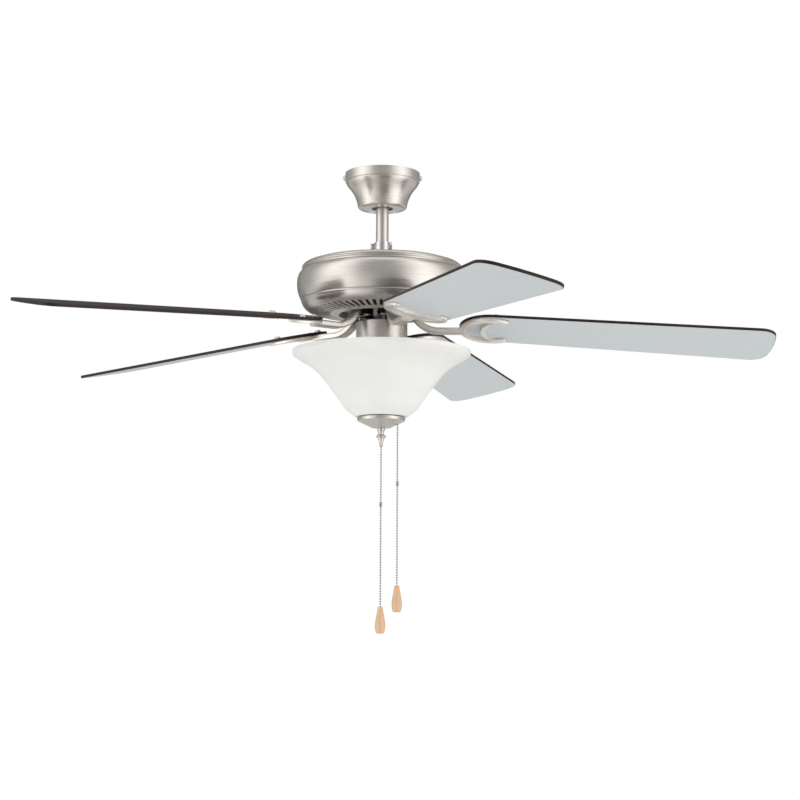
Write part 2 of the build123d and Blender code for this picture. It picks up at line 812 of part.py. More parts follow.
# Housing pan: a bead under the seam, a round turn and a slotted floor with an open middle
pan_turn_z = pan_bottom_z + pan_turn_rise
pan_bead_z = lower_seam_z - pan_bead_height
with BuildPart() as housing_pan:
    with BuildSketch(Plane.XZ):
        with BuildLine():
            Polyline(
                (seam_radius, lower_seam_z),
                (seam_radius + pan_bead, lower_seam_z - pan_bead),
                (seam_radius + pan_bead, pan_bead_z + pan_bead),
                (seam_radius, pan_bead_z),
            )
            ThreePointArc(
                (seam_radius, pan_bead_z),
                (
                    pan_turn_radius + 0.66 * (seam_radius - pan_turn_radius),
                    pan_turn_z + 0.36 * (pan_bead_z - pan_turn_z),
                ),
                (pan_turn_radius, pan_turn_z),
            )
            Line((pan_turn_radius, pan_turn_z), (pan_hole_radius, pan_bottom_z))
            offset(amount=housing_wall, side=Side.RIGHT)
        make_face()
    revolve(axis=Axis.Z)
    with BuildSketch(Plane.XY.offset(pan_bottom_z)):
        with PolarLocations((pan_slot_inner + pan_slot_outer) / 2, pan_slot_count):
            SlotOverall(pan_slot_outer - pan_slot_inner, pan_slot_width)
    extrude(amount=pan_depth / 2, mode=Mode.SUBTRACT)
housing_pan.part.label = "housing_pan"
export_step(housing_pan.part, "parts/housing_pan.step")

# Screws that hold the lid to the yoke's flange
with BuildPart() as housing_screws:
    with BuildSketch(Plane.XY.offset(lid_top_z)):
        with PolarLocations(lid_screw_circle, lid_screw_count, start_angle=45):
            Circle(lid_screw_head_radius)
    extrude(amount=lid_screw_head)
    fillet(housing_screws.edges().group_by(Axis.Z)[-1], lid_screw_head / 2)
    with BuildSketch(Plane.XY.offset(lid_top_z)):
        with PolarLocations(lid_screw_circle, lid_screw_count, start_angle=45):
            Circle(lid_screw_radius)
    extrude(amount=-(housing_wall + yoke_flange_wall))
housing_screws.part.label = "housing_screws"
export_step(housing_screws.part, "parts/housing_screws.step")

# Blade arm: a bent bar from the rotor, cut flush under the blade, to a horseshoe with a crescent
arm_top_z = rotor_bottom_z - arm_thickness / 2
arm_low_z = rotor_bottom_z - arm_drop
loop_arc_start = loop_opening / 2
with BuildPart() as blade_arm:
    with BuildSketch(blade_plane(blade_root_radius)):
        with BuildLine():
            crescent_ends = [
                across_blade(crescent_tip, -crescent_tip_offset),
                across_blade(crescent_tip, crescent_tip_offset),
            ]
            ThreePointArc(crescent_ends[0], across_blade(crescent_outer, 0), crescent_ends[1])
            ThreePointArc(
                crescent_ends[1], across_blade(crescent_outer + crescent_width, 0), crescent_ends[0]
            )
        make_face()
        with BuildLine():
            loop_arc = CenterArc(
                across_blade(loop_center, 0), loop_radius, loop_arc_start, 360 - loop_opening
            )
        SlotArc(loop_arc, loop_width)
    extrude(amount=-loop_thickness)
    fillet(blade_arm.faces().sort_by(Axis.Z)[0].edges(), loop_round)
    with BuildLine(Plane.XZ) as arm_path:
        FilletPolyline(
            (arm_inner_radius, arm_top_z),
            (arm_bend_radius, arm_top_z),
            (arm_foot_radius, arm_low_z),
            (arm_outer_radius, arm_low_z),
            radius=[arm_upper_fillet, arm_lower_fillet],
        )
    with BuildSketch(Plane(origin=arm_path.line @ 0, x_dir=(0, 1, 0), z_dir=arm_path.line % 0)):
        RectangleRounded(arm_width, arm_thickness, arm_round)
    sweep()
    with BuildSketch(blade_plane(blade_root_radius)):
        Rectangle(4 * arm_past_root, 2 * arm_width)
    extrude(amount=arm_thickness, mode=Mode.SUBTRACT)
    with BuildSketch(Plane.XY.offset(rotor_bottom_z)):
        with Locations(((arm_inner_radius + flange_outer_radius) / 2, 0)):
            RectangleRounded(flange_outer_radius - arm_inner_radius, flange_width, arm_round)
    extrude(amount=-arm_thickness)
    with BuildSketch(Plane.XY.offset(rotor_bottom_z)):
        with Locations((arm_screw_circle, -arm_screw_offset), (arm_screw_circle, arm_screw_offset)):
            Circle(arm_screw_radius + screw_clearance)
    extrude(amount=-arm_thickness, mode=Mode.SUBTRACT)
    with BuildSketch(blade_plane(blade_root_radius)):
        with Locations([across_blade(*place) for place in blade_screw_places]):
            Circle(blade_screw_radius + fit_clearance)
    extrude(amount=-blade_screw_bite - screw_clearance, mode=Mode.SUBTRACT)
for number in range(blade_count):
    turned_arm = blade_arm.part.rotate(Axis.Z, number * blade_step)
    turned_arm.label = f"blade_arm_{number + 1}"
    export_step(turned_arm, f"parts/blade_arm_{number + 1}.step")

# Blade: rounded root over the horseshoe, widening to a softly rounded tip
root_half = blade_root_width / 2
tip_half = blade_tip_width / 2
root_shoulder = across_blade(blade_root_radius + root_half, 0)[0]
tip_edge = across_blade(blade_tip_radius - blade_tip_sag, 0)[0]
with BuildPart() as blade:
    with BuildSketch(blade_plane(blade_root_radius)) as blade_outline:
        with BuildLine():
            ThreePointArc((root_shoulder, -root_half), (0, 0), (root_shoulder, root_half))
            Line((root_shoulder, root_half), (tip_edge, tip_half))
            ThreePointArc(
                (tip_edge, tip_half), across_blade(blade_tip_radius, 0), (tip_edge, -tip_half)
            )
            Line((tip_edge, -tip_half), (root_shoulder, -root_half))
        make_face()
        fillet(blade_outline.vertices().sort_by(Axis.X)[-2:], blade_tip_corner)
        with Locations([across_blade(*place) for place in blade_screw_places]):
            Circle(blade_screw_radius + screw_clearance, mode=Mode.SUBTRACT)
    extrude(amount=blade_thickness)
for number in range(blade_count):
    turned_blade = blade.part.rotate(Axis.Z, number * blade_step)
    turned_blade.label = f"blade_{number + 1}"
    export_step(turned_blade, f"parts/blade_{number + 1}.step")

# Screws that hold the arms to the rotor, two to each arm
arm_flange_z = rotor_bottom_z - arm_thickness
with BuildPart() as arm_screws:
    for side in (-arm_screw_half_angle, arm_screw_half_angle):
        with BuildSketch(Plane.XY.offset(arm_flange_z)):
            with PolarLocations(arm_screw_radius_out, blade_count, start_angle=side):
                Circle(arm_screw_head_radius)
        extrude(amount=-arm_screw_head)
    fillet(arm_screws.edges().group_by(Axis.Z)[0], arm_screw_head / 2)
    for side in (-arm_screw_half_angle, arm_screw_half_angle):
        with BuildSketch(Plane.XY.offset(arm_flange_z)):
            with PolarLocations(arm_screw_radius_out, blade_count, start_angle=side):
                Circle(arm_screw_radius)
        extrude(amount=arm_thickness + rotor_plate)
arm_screws.part.label = "arm_screws"
export_step(arm_screws.part, "parts/arm_screws.step")

# Round-headed screws through the blades into the arms, three to each blade
with BuildPart() as screw_set:
    for place in blade_screw_places:
        head_plane = blade_plane(blade_root_radius).offset(blade_thickness)
        with BuildSketch(head_plane):
            with Locations(across_blade(*place)):
                Circle(blade_screw_head_radius)
        extrude(amount=blade_screw_head)
        fillet(screw_set.edges(Select.LAST).sort_by(Axis.Z)[-1], 0.8 * blade_screw_head)
        with BuildSketch(head_plane):
            with Locations(across_blade(*place)):
                Circle(blade_screw_radius)
        extrude(amount=-(blade_thickness + blade_screw_bite))
with BuildPart() as blade_screws:
    for number in range(blade_count):
        add(screw_set.part.rotate(Axis.Z, number * blade_step))
blade_screws.part.label = "blade_screws"
export_step(blade_screws.part, "parts/blade_screws.step")

# Switch housing: an inverted cup held to the shaft's foot by a nut
lever_z = switch_top_z - lever_drop
lever_slot_length = lever_width + lever_travel + 2 * lever_gap
lever_slot_height = lever_height + 2 * lever_gap
fitter_screw_z = fitter_top_z + fitter_screw_rise
with BuildPart() as switch_housing:
    with BuildSketch(Plane.XY.offset(fitter_top_z)):
        Circle(switch_radius)
    extrude(amount=switch_height)
    fillet(switch_housing.edges().sort_by(Axis.Z)[-1], switch_round)
    with BuildSketch(Plane.XY.offset(fitter_top_z)):
        Circle(switch_radius - switch_wall)
    extrude(amount=switch_height - switch_wall, mode=Mode.SUBTRACT)
    with BuildSketch(Plane.XY.offset(switch_top_z)):
        Circle(shaft_thread_radius + fit_clearance)
    extrude(amount=-2 * switch_wall, mode=Mode.SUBTRACT)
    with Locations((0, switch_radius, lever_z)):
        Box(lever_slot_length, switch_radius, lever_slot_height, mode=Mode.SUBTRACT)
    for angle in fitter_screw_angles:
        with BuildSketch(radial_plane(angle, fitter_screw_z)):
            Circle(fitter_screw_radius + screw_clearance)
        extrude(amount=2 * switch_radius, mode=Mode.SUBTRACT)
switch_housing.part.label = "switch_housing"
export_step(switch_housing.part, "parts/switch_housing.step")

# Light fitter: a plate with a rim inside the switch housing and two legs for the lamp sockets
fitter_rim_radius = switch_radius - switch_wall - screw_clearance
leg_outer = bracket_leg_offset + bracket_leg_wall
with BuildPart() as light_fitter:
    with BuildSketch(Plane.XY.offset(fitter_bottom_z)):
        Circle(switch_radius)
    extrude(amount=fitter_wall)
    with BuildSketch(Plane.XY.offset(fitter_top_z)):
        Circle(fitter_rim_radius)
        Circle(fitter_rim_radius - switch_wall, mode=Mode.SUBTRACT)
    extrude(amount=fitter_rise)
    for leg_side in (-1, 1):
        with Locations((0, leg_side * (leg_outer - bracket_leg_wall / 2), fitter_bottom_z)):
            Box(
                bracket_leg_width,
                bracket_leg_wall,
                bracket_leg,
                align=(Align.CENTER, Align.CENTER, Align.MAX),
            )
    with BuildSketch(Plane.XY.offset(fitter_bottom_z)):
        Circle(tube_radius + fit_clearance)
        with Locations((light_chain_offset, 0)):
            Circle(nozzle_radius + fit_clearance)
    extrude(amount=fitter_wall, mode=Mode.SUBTRACT)
    for angle in fitter_screw_angles:
        with BuildSketch(radial_plane(angle, fitter_screw_z)):
            Circle(fitter_screw_radius + fit_clearance)
        extrude(amount=2 * switch_radius, mode=Mode.SUBTRACT)
light_fitter.part.label = "light_fitter"
export_step(light_fitter.part, "parts/light_fitter.step")

# Screws through the switch housing into the fitter's rim
fitter_shank = 2 * switch_wall + screw_clearance + fitter_screw_radius
with BuildPart() as fitter_screws:
    for angle in fitter_screw_angles:
        head_plane = radial_plane(angle, fitter_screw_z).offset(switch_radius)
        with BuildSketch(head_plane):
            Circle(fitter_screw_head_radius)
        extrude(amount=fitter_screw_head)
        with BuildSketch(head_plane):
            Circle(fitter_screw_radius)
        extrude(amount=-fitter_shank)
fitter_screws.part.label = "fitter_screws"
export_step(fitter_screws.part, "parts/fitter_screws.step")

# Nuts on the shaft's foot, on the centre tube above and below the fitter, and on the light switch
with BuildPart() as lock_nuts:
    with BuildSketch(Plane.XY.offset(switch_top_z - switch_wall)):
        RegularPolygon(shaft_nut_radius, 6)
        Circle(shaft_thread_radius + fit_clearance, mode=Mode.SUBTRACT)
    extrude(amount=-nut_height)
    with BuildSketch(Plane.XY.offset(fitter_top_z)):
        RegularPolygon(tube_nut_radius, 6)
        Circle(tube_radius + fit_clearance, mode=Mode.SUBTRACT)
    extrude(amount=nut_height)
    with BuildSketch(Plane.XY.offset(fitter_bottom_z)):
        RegularPolygon(tube_nut_radius, 6)
        Circle(tube_radius + fit_clearance, mode=Mode.SUBTRACT)
        with Locations((light_chain_offset, 0)):
            RegularPolygon(switch_nut_radius, 6)
            Circle(nozzle_radius + fit_clearance, mode=Mode.SUBTRACT)
    extrude(amount=-nut_height)
lock_nuts.part.label = "lock_nuts"
export_step(lock_nuts.part, "parts/lock_nuts.step")

# Speed switch over the centre tube, with a nozzle that guides the fan's chain into it
chain_bore = tube_bore
speed_switch_z = tube_top_z + speed_nozzle
with BuildPart() as speed_switch:
    with BuildSketch(Plane.XY.offset(speed_switch_z)):
        RectangleRounded(speed_switch_length, speed_switch_width, switch_round)
    extrude(amount=speed_switch_height)
    with BuildSketch(Plane.XY.offset(tube_top_z)):
        Circle(nozzle_radius)
    extrude(amount=speed_nozzle)
    with BuildSketch(Plane.XY.offset(tube_top_z)):
        Circle(chain_bore)
    extrude(amount=speed_nozzle + speed_switch_height / 2, mode=Mode.SUBTRACT)
speed_switch.part.label = "speed_switch"
export_step(speed_switch.part, "parts/speed_switch.step")

# Light switch on the fitter, with its nozzle through the plate
with BuildPart() as light_switch:
    with BuildSketch(Plane.XY.offset(fitter_top_z)):
        with Locations((light_chain_offset, 0)):
            RectangleRounded(light_switch_size, light_switch_size, switch_round)
    extrude(amount=light_switch_height)
    with BuildSketch(Plane.XY.offset(fitter_top_z)):
        with Locations((light_chain_offset, 0)):
            Circle(nozzle_radius)
    extrude(amount=-light_nozzle)
    with BuildSketch(Plane.XY.offset(fitter_top_z - light_nozzle)):
        with Locations((light_chain_offset, 0)):
            Circle(chain_bore)
    extrude(amount=light_nozzle + light_switch_height / 2, mode=Mode.SUBTRACT)
light_switch.part.label = "light_switch"
export_step(light_switch.part, "parts/light_switch.step")

# Run capacitor standing on the fitter
with BuildPart() as capacitor:
    with BuildSketch(Plane.XY.offset(fitter_top_z)):
        with Locations((-capacitor_center, 0)):
            RectangleRounded(capacitor_length, capacitor_width, switch_round)
    extrude(amount=capacitor_height)
capacitor.part.label = "capacitor"
export_step(capacitor.part, "parts/capacitor.step")

# Reverse switch behind the slot in the housing's back, with a pocket for its lever
reverse_reach = switch_radius - switch_wall - ball_clearance
reverse_face = sqrt(reverse_reach**2 - (reverse_length / 2) ** 2)
with BuildPart() as reverse_switch:
    with Locations((0, reverse_face, lever_z)):
        Box(
            reverse_length,
            reverse_depth,
            reverse_height,
            align=(Align.CENTER, Align.MAX, Align.CENTER),
        )
        Box(
            lever_slot_length,
            reverse_pocket + lever_gap,
            lever_slot_height,
            align=(Align.CENTER, Align.MAX, Align.CENTER),
            mode=Mode.SUBTRACT,
        )
reverse_switch.part.label = "reverse_switch"
export_step(reverse_switch.part, "parts/reverse_switch.step")

# Reverse lever, at one end of its slot
with BuildPart() as reverse_lever:
    with Locations((-lever_travel / 2, reverse_face - reverse_pocket, lever_z)):
        Box(
            lever_width,
            switch_radius + lever_proud - reverse_face + reverse_pocket,
            lever_height,
            align=(Align.CENTER, Align.MIN, Align.CENTER),
        )
    chamfer(reverse_lever.faces().sort_by(Axis.Y)[-1].edges(), lever_height / 5)
reverse_lever.part.label = "reverse_lever"
export_step(reverse_lever.part, "parts/reverse_lever.step")

# Lamp sockets on the outer faces of the fitter's legs
socket_z = fitter_bottom_z - socket_drop
with BuildPart() as lamp_sockets:
    with BuildSketch(Plane.XZ.offset(-leg_outer)):
        with Locations((0, socket_z)):
            Circle(socket_radius)
    extrude(amount=-socket_length)
    with BuildSketch(Plane.XZ.offset(-leg_outer - socket_length)):
        with Locations((0, socket_z)):
            Circle(socket_bore)
    extrude(amount=socket_depth, mode=Mode.SUBTRACT)
    mirror(about=Plane.XZ)
lamp_sockets.part.label = "lamp_sockets"
export_step(lamp_sockets.part, "parts/lamp_sockets.step")

# Round lamps, their bases in the sockets
lamp_base_y = leg_outer + socket_length - socket_depth + ball_clearance
globe_y = lamp_base_y + lamp_length - lamp_radius
with BuildPart() as lamps:
    with BuildSketch(Plane.YZ):
        with BuildLine():
            globe_arc = CenterArc((globe_y, socket_z), lamp_radius, 0, 135)
            Polyline(
                globe_arc @ 1,
                (lamp_base_y + lamp_neck, socket_z + lamp_base_radius),
                (lamp_base_y, socket_z + lamp_base_radius),
                (lamp_base_y, socket_z),
                globe_arc @ 0,
            )
        make_face()
    revolve(axis=Axis((0, 0, socket_z), (0, 1, 0)))
    mirror(about=Plane.XZ)
lamps.part.label = "lamps"
export_step(lamps.part, "parts/lamps.step")

# Centre tube, from the speed switch down into the finial
with BuildPart() as centre_tube:
    with BuildSketch(Plane.XY.offset(cap_bottom_z - finial_bite)):
        Circle(tube_radius)
        Circle(tube_bore, mode=Mode.SUBTRACT)
    extrude(amount=tube_top_z - cap_bottom_z + finial_bite)
centre_tube.part.label = "centre_tube"
export_step(centre_tube.part, "parts/centre_tube.step")

# Glass bowl: a lipped rim, a flare, a straight run and a rounded foot with a hole
bowl_flare_z = bowl_rim_z - bowl_flare_drop
bowl_waist_z = bowl_rim_z - bowl_waist_drop
bowl_lip_z = bowl_rim_z - bowl_lip
flare_span = bowl_rim_radius - bowl_lip_step - bowl_flare_radius
flare_fall = bowl_lip_z - bowl_flare_z
with BuildPart() as glass_bowl:
    with BuildSketch(Plane.XZ):
        with BuildLine():
            Polyline(
                (bowl_rim_radius, bowl_rim_z),
                (bowl_rim_radius, bowl_lip_z + bowl_lip_step),
                (bowl_rim_radius - bowl_lip_step, bowl_lip_z),
            )
            ThreePointArc(
                (bowl_rim_radius - bowl_lip_step, bowl_lip_z),
                (bowl_flare_radius + 0.42 * flare_span, bowl_lip_z - 0.475 * flare_fall),
                (bowl_flare_radius, bowl_flare_z),
            )
            Line((bowl_flare_radius, bowl_flare_z), (bowl_waist_radius, bowl_waist_z))
            ThreePointArc(
                (bowl_waist_radius, bowl_waist_z),
                (
                    bowl_foot_radius + 0.65 * (bowl_waist_radius - bowl_foot_radius),
                    (bowl_waist_z + bowl_foot_z) / 2,
                ),
                (bowl_foot_radius, bowl_foot_z),
            )
            Line((bowl_foot_radius, bowl_foot_z), (bowl_hole_radius, bowl_foot_z))
            offset(amount=bowl_wall, side=Side.RIGHT)
        make_face()
    revolve(axis=Axis.Z)
    fillet(glass_bowl.edges().group_by(Axis.Z)[-1], bowl_wall / 3)
glass_bowl.part.label = "glass_bowl"
export_step(glass_bowl.part, "parts/glass_bowl.step")

# Soft washer between the bowl's foot and the cap
with BuildPart() as bowl_washer:
    with BuildSketch(Plane.XY.offset(cap_top_z)):
        Circle(washer_outer)
        Circle(washer_inner, mode=Mode.SUBTRACT)
    extrude(amount=washer_wall)
bowl_washer.part.label = "bowl_washer"
export_step(bowl_washer.part, "parts/bowl_washer.step")

# Bowl cap: a flange under the washer, a band and a cone, with a hole for the light's chain
with BuildPart() as bowl_cap:
    with BuildSketch(Plane.XZ):
        with BuildLine():
            Polyline(
                (washer_inner, cap_top_z),
                (cap_radius, cap_top_z),
                (cap_radius, cap_top_z - cap_band),
                (cap_foot_radius, cap_bottom_z),
                (tube_radius + fit_clearance, cap_bottom_z),
            )
            offset(amount=cap_wall, side=Side.RIGHT)
        make_face()
    revolve(axis=Axis.Z)
    with BuildSketch(Plane.XY.offset(cap_bottom_z)):
        with Locations((light_chain_offset, 0)):
            Circle(chain_bore)
    extrude(amount=cap_height - 2 * cap_wall, mode=Mode.SUBTRACT)
bowl_cap.part.label = "bowl_cap"
export_step(bowl_cap.part, "parts/bowl_cap.step")

# Finial: collar, neck, ring and a taper to a round tip, bored for the tube and the fan's chain
collar_z = cap_bottom_z - finial_collar_height
ring_z = cap_bottom_z - finial_ring_drop
tip_z = finial_bottom_z + finial_tip_radius
with BuildPart() as finial:
    with BuildSketch(Plane.XZ):
        with BuildLine():
            tip_arc = CenterArc((0, tip_z), finial_tip_radius, 25, -115)
            Polyline(
                tip_arc @ 0,
                (0.7 * finial_ring_radius, ring_z - 0.3 * finial_ring_radius),
                (finial_ring_radius, ring_z),
                (finial_neck_radius, ring_z + 0.3 * finial_ring_radius),
                (finial_neck_radius, collar_z - finial_collar_fall),
                (finial_collar_radius, collar_z),
                (finial_collar_radius, cap_bottom_z),
                (0, cap_bottom_z),
                tip_arc @ 1,
            )
        make_face()
    revolve(axis=Axis.Z)
    with BuildSketch(Plane.XY.offset(cap_bottom_z)):
        Circle(tube_radius + fit_clearance)
    extrude(amount=-finial_bite, mode=Mode.SUBTRACT)
    with BuildSketch(Plane.XY.offset(cap_bottom_z)):
        Circle(chain_bore)
    extrude(amount=-finial_length, mode=Mode.SUBTRACT)
finial.part.label = "finial"
export_step(finial.part, "parts/finial.step")

# Pull chains: each has an upper run, a connector, a lower run and a turned pendant
fan_connector_z = finial_bottom_z - fan_chain_drop
light_connector_z = cap_top_z - light_chain_drop
chains = (
    ("fan", 0.0, speed_switch_z - chain_in_nozzle, fan_connector_z),
    ("light", light_chain_offset, fitter_top_z - chain_in_nozzle, light_connector_z),
)
for chain_name, chain_x, chain_top_z, connector_z in chains:
    lower_top_z = connector_z - connector_length - chain_joint_gap
    pendant_z = lower_top_z - lower_chain_length
    with BuildPart() as chain_upper:
        with BuildSketch(Plane.XY.offset(connector_z)):
            with Locations((chain_x, 0)):
                Circle(chain_radius)
        extrude(amount=chain_top_z - connector_z)
    chain_upper.part.label = f"{chain_name}_chain_upper"
    export_step(chain_upper.part, f"parts/{chain_name}_chain_upper.step")

    with BuildPart() as chain_connector:
        with BuildSketch(Plane.XY.offset(connector_z)):
            with Locations((chain_x, 0)):
                Circle(connector_radius)
        extrude(amount=-connector_length)
        fillet(chain_connector.edges().filter_by(GeomType.CIRCLE), connector_radius / 3)
    chain_connector.part.label = f"{chain_name}_chain_connector"
    export_step(chain_connector.part, f"parts/{chain_name}_chain_connector.step")

    with BuildPart() as chain_lower:
        with BuildSketch(Plane.XY.offset(pendant_z)):
            with Locations((chain_x, 0)):
                Circle(chain_radius)
        extrude(amount=lower_chain_length - chain_radius)
        with Locations((chain_x, 0, lower_top_z - chain_radius)):
            Sphere(chain_radius)
    chain_lower.part.label = f"{chain_name}_chain_lower"
    export_step(chain_lower.part, f"parts/{chain_name}_chain_lower.step")

    with BuildPart() as pendant:
        with BuildSketch(Plane.XZ):
            with BuildLine():
                flank = Spline(
                    (chain_x + pendant_top_radius, pendant_z),
                    (chain_x + 0.74 * pendant_radius, pendant_z - 0.35 * pendant_length),
                    (chain_x + pendant_radius, pendant_z - 0.68 * pendant_length),
                    (chain_x + 0.86 * pendant_radius, pendant_z - 0.93 * pendant_length),
                )
                Polyline(
                    flank @ 1,
                    (chain_x + pendant_base_radius, pendant_z - pendant_length),
                    (chain_x, pendant_z - pendant_length),
                    (chain_x, pendant_z),
                    flank @ 0,
                )
            make_face()
        revolve(axis=Axis((chain_x, 0, 0), (0, 0, 1)))
        fillet(pendant.edges().filter_by(GeomType.CIRCLE).sort_by(Axis.Z)[-1], pendant_edge)
        fillet(pendant.edges().filter_by(GeomType.CIRCLE).sort_by(Axis.Z)[0:2], pendant_edge)
    pendant.part.label = f"{chain_name}_pendant"
    export_step(pendant.part, f"parts/{chain_name}_pendant.step")
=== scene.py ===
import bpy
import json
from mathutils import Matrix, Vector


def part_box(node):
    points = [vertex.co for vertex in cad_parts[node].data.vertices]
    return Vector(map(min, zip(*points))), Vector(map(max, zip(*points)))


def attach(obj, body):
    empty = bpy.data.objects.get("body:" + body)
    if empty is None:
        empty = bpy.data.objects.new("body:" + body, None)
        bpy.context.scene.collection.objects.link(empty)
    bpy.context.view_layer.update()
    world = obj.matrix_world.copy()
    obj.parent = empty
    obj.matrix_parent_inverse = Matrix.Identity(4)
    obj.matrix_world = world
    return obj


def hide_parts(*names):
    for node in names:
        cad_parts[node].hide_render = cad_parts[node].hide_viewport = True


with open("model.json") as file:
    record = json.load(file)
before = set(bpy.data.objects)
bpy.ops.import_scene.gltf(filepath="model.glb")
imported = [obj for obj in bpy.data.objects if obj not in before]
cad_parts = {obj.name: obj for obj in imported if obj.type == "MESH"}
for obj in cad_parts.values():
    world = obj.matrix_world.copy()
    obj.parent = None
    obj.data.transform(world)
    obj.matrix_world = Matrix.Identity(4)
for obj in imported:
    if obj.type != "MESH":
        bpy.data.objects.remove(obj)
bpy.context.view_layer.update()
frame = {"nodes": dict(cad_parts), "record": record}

import json
import math

import bmesh
import bpy
from bpy.props import FloatProperty, FloatVectorProperty, IntProperty, PointerProperty
from mathutils import Matrix, Vector

bl_info = {
    "name": "Ceiling fan with bowl light",
    "version": (1, 0, 0),
    "blender": (4, 5, 0),
    "location": "3D View > Sidebar > Ceiling fan",
    "description": "Dresses the solids of a five-blade ceiling fan with a bowl light",
    "category": "Object",
}

MM = 0.001
ARC_STEP = math.radians(9.0)
SHARP_ANGLE = math.radians(32.0)
MERGE_DISTANCE = 2e-6
TURNED_COLUMNS = 160
FINE_COLUMNS = 48
HEAD_COLUMNS = 24
SHANK_SIDES = 16
BEAD_SEGMENTS = 10
BEAD_RINGS = 6
WIRE_SIDES = 6
BLADE_MAP = "Blade length"
UPRIGHT = "upright"
# Look whose colour gets painted shade near the fan's axis
PAINTED_SHADE_LOOK = "cast"
GRAIN_RANGE = (0.3, 0.7)
BUMP_DEPTH = 0.0002
PORE_SHARE = 0.35

# Blade outline: steps round the tip, the root and the edges, and how the tip's corners meet its bow
TIP_STEPS = 5
ROOT_STEPS = 24
EDGE_STEPS = 3
TIP_BLEND = 200.0
CORNER_LEAD = 0.15
CORNER_REACH = 0.9

# Height in metres where the light's chain leaves the cap
LIGHT_OUTLET = -0.4305

NODE_BODY = {
    node: body for body, nodes in frame["record"]["behaviour"]["bodies"].items() for node in nodes
}

# Outlines of the turned pieces from the outside: radius, height and corner radius in millimetres
CANOPY_OUTLINE = (
    (63.3, 0.0, 0.0),
    (63.3, -14.9, 0.5),
    (61.3, -15.1, 0.0),
    (61.3, -16.6, 0.0),
    (61.9, -16.8, 0.3),
    (59.6, -21.3, 22.0),
    (54.6, -27.2, 30.0),
    (50.4, -33.0, 40.0),
    (46.9, -39.5, 40.0),
    (44.2, -46.5, 60.0),
    (42.2, -53.5, 60.0),
    (40.9, -61.9, 5.4),
    (34.7, -61.9, 0.0),
)
LID_OUTLINE = (
    (20.4, -152.5, 0.0),
    (60.0, -152.6, 60.0),
    (117.0, -155.0, 30.0),
    (134.0, -160.6, 5.0),
    (134.3, -163.6, 0.4),
    (133.9, -164.2, 0.3),
    (135.9, -165.0, 0.6),
    (135.9, -166.4, 0.6),
    (134.0, -167.1, 0.3),
    (134.8, -167.9, 0.4),
    (135.5, -170.2, 0.3),
    (134.2, -170.9, 0.0),
)
SHELL_OUTLINE = (
    (134.9, -171.1, 0.0),
    (135.9, -171.2, 0.3),
    (140.6, -176.0, 12.0),
    (143.2, -183.0, 30.0),
    (144.0, -193.5, 60.0),
    (142.9, -204.0, 50.0),
    (140.6, -212.5, 50.0),
    (136.6, -220.4, 0.3),
    (135.4, -220.9, 0.0),
)
BOWL_OUTLINE = (
    (150.0, -306.0, 1.6),
    (150.0, -313.2, 1.2),
    (147.6, -314.6, 1.0),
    (139.6, -320.4, 30.0),
    (122.5, -329.2, 70.0),
    (104.0, -345.2, 80.0),
    (87.3, -367.4, 200.0),
    (70.6, -389.8, 90.0),
    (61.4, -404.0, 40.0),
    (44.0, -417.9, 7.0),
    (31.6, -417.9, 0.0),
)
CAP_OUTLINE = (
    (33.1, -419.1, 0.0),
    (40.0, -419.1, 0.6),
    (40.0, -424.5, 0.4),
    (38.0, -425.2, 0.4),
    (29.0, -429.8, 30.0),
    (20.6, -433.6, 14.0),
    (16.6, -435.9, 0.8),
    (3.7, -435.9, 0.0),
)
FINIAL_OUTLINE = (
    (2.4, -436.1, 0.0),
    (5.4, -436.1, 0.2),
    (5.4, -437.4, 0.2),
    (6.5, -437.8, 0.4),
    (6.5, -440.8, 0.9),
    (4.9, -442.2, 0.5),
    (4.7, -447.8, 0.8),
    (6.6, -448.4, 0.4),
    (8.45, -450.6, 0.5),
    (8.45, -451.4, 0.5),
    (5.9, -453.6, 0.5),
    (2.7, -462.3, 0.4),
    (3.35, -464.4, 1.4),
    (3.1, -466.8, 1.6),
    (2.3, -467.9, 0.4),
)
CONNECTOR_OUTLINE = (
    (1.0, 0.0, 0.0),
    (2.1, 0.0, 0.4),
    (2.6, -1.2, 0.8),
    (2.35, -4.0, 3.0),
    (2.6, -6.8, 0.8),
    (2.1, -8.0, 0.4),
    (1.0, -8.0, 0.0),
)
PENDANT_OUTLINE = (
    (0.0, 0.0, 0.0),
    (4.0, 0.0, 0.9),
    (5.2, -8.0, 40.0),
    (6.7, -16.5, 60.0),
    (8.0, -23.5, 40.0),
    (8.72, -30.5, 24.0),
    (8.3, -37.0, 20.0),
    (7.2, -41.6, 4.0),
    (5.4, -44.0, 1.2),
    (0.0, -44.0, 0.0),
)

# Screws by node: head radius, head height, shank radius and shank length in millimetres
SCREW_SIZES = {
    "canopy_screws": (4.6, 4.0, 2.2, 9.0),
    "housing_screws": (4.0, 2.4, 2.0, 5.7),
    "arm_screws": (4.6, 3.2, 2.5, 16.5),
    "blade_screws": (5.5, 3.4, 2.4, 9.5),
    "fitter_screws": (3.4, 2.2, 1.8, 4.3),
}

# Screw head of one metre, as an outline in millimetres, and its cross: arms, middle and depth in metres
HEAD_OUTLINE = (
    (0, 0, 0),
    (1000, 0, 0),
    (1000, 380, 300),
    (720, 860, 500),
    (300, 1000, 300),
    (0, 1000, 0),
)
CROSS_ARMS = ((1.1, 0.24), (0.24, 1.1))
CROSS_MIDDLE = 0.95
CROSS_DEPTH = 0.9

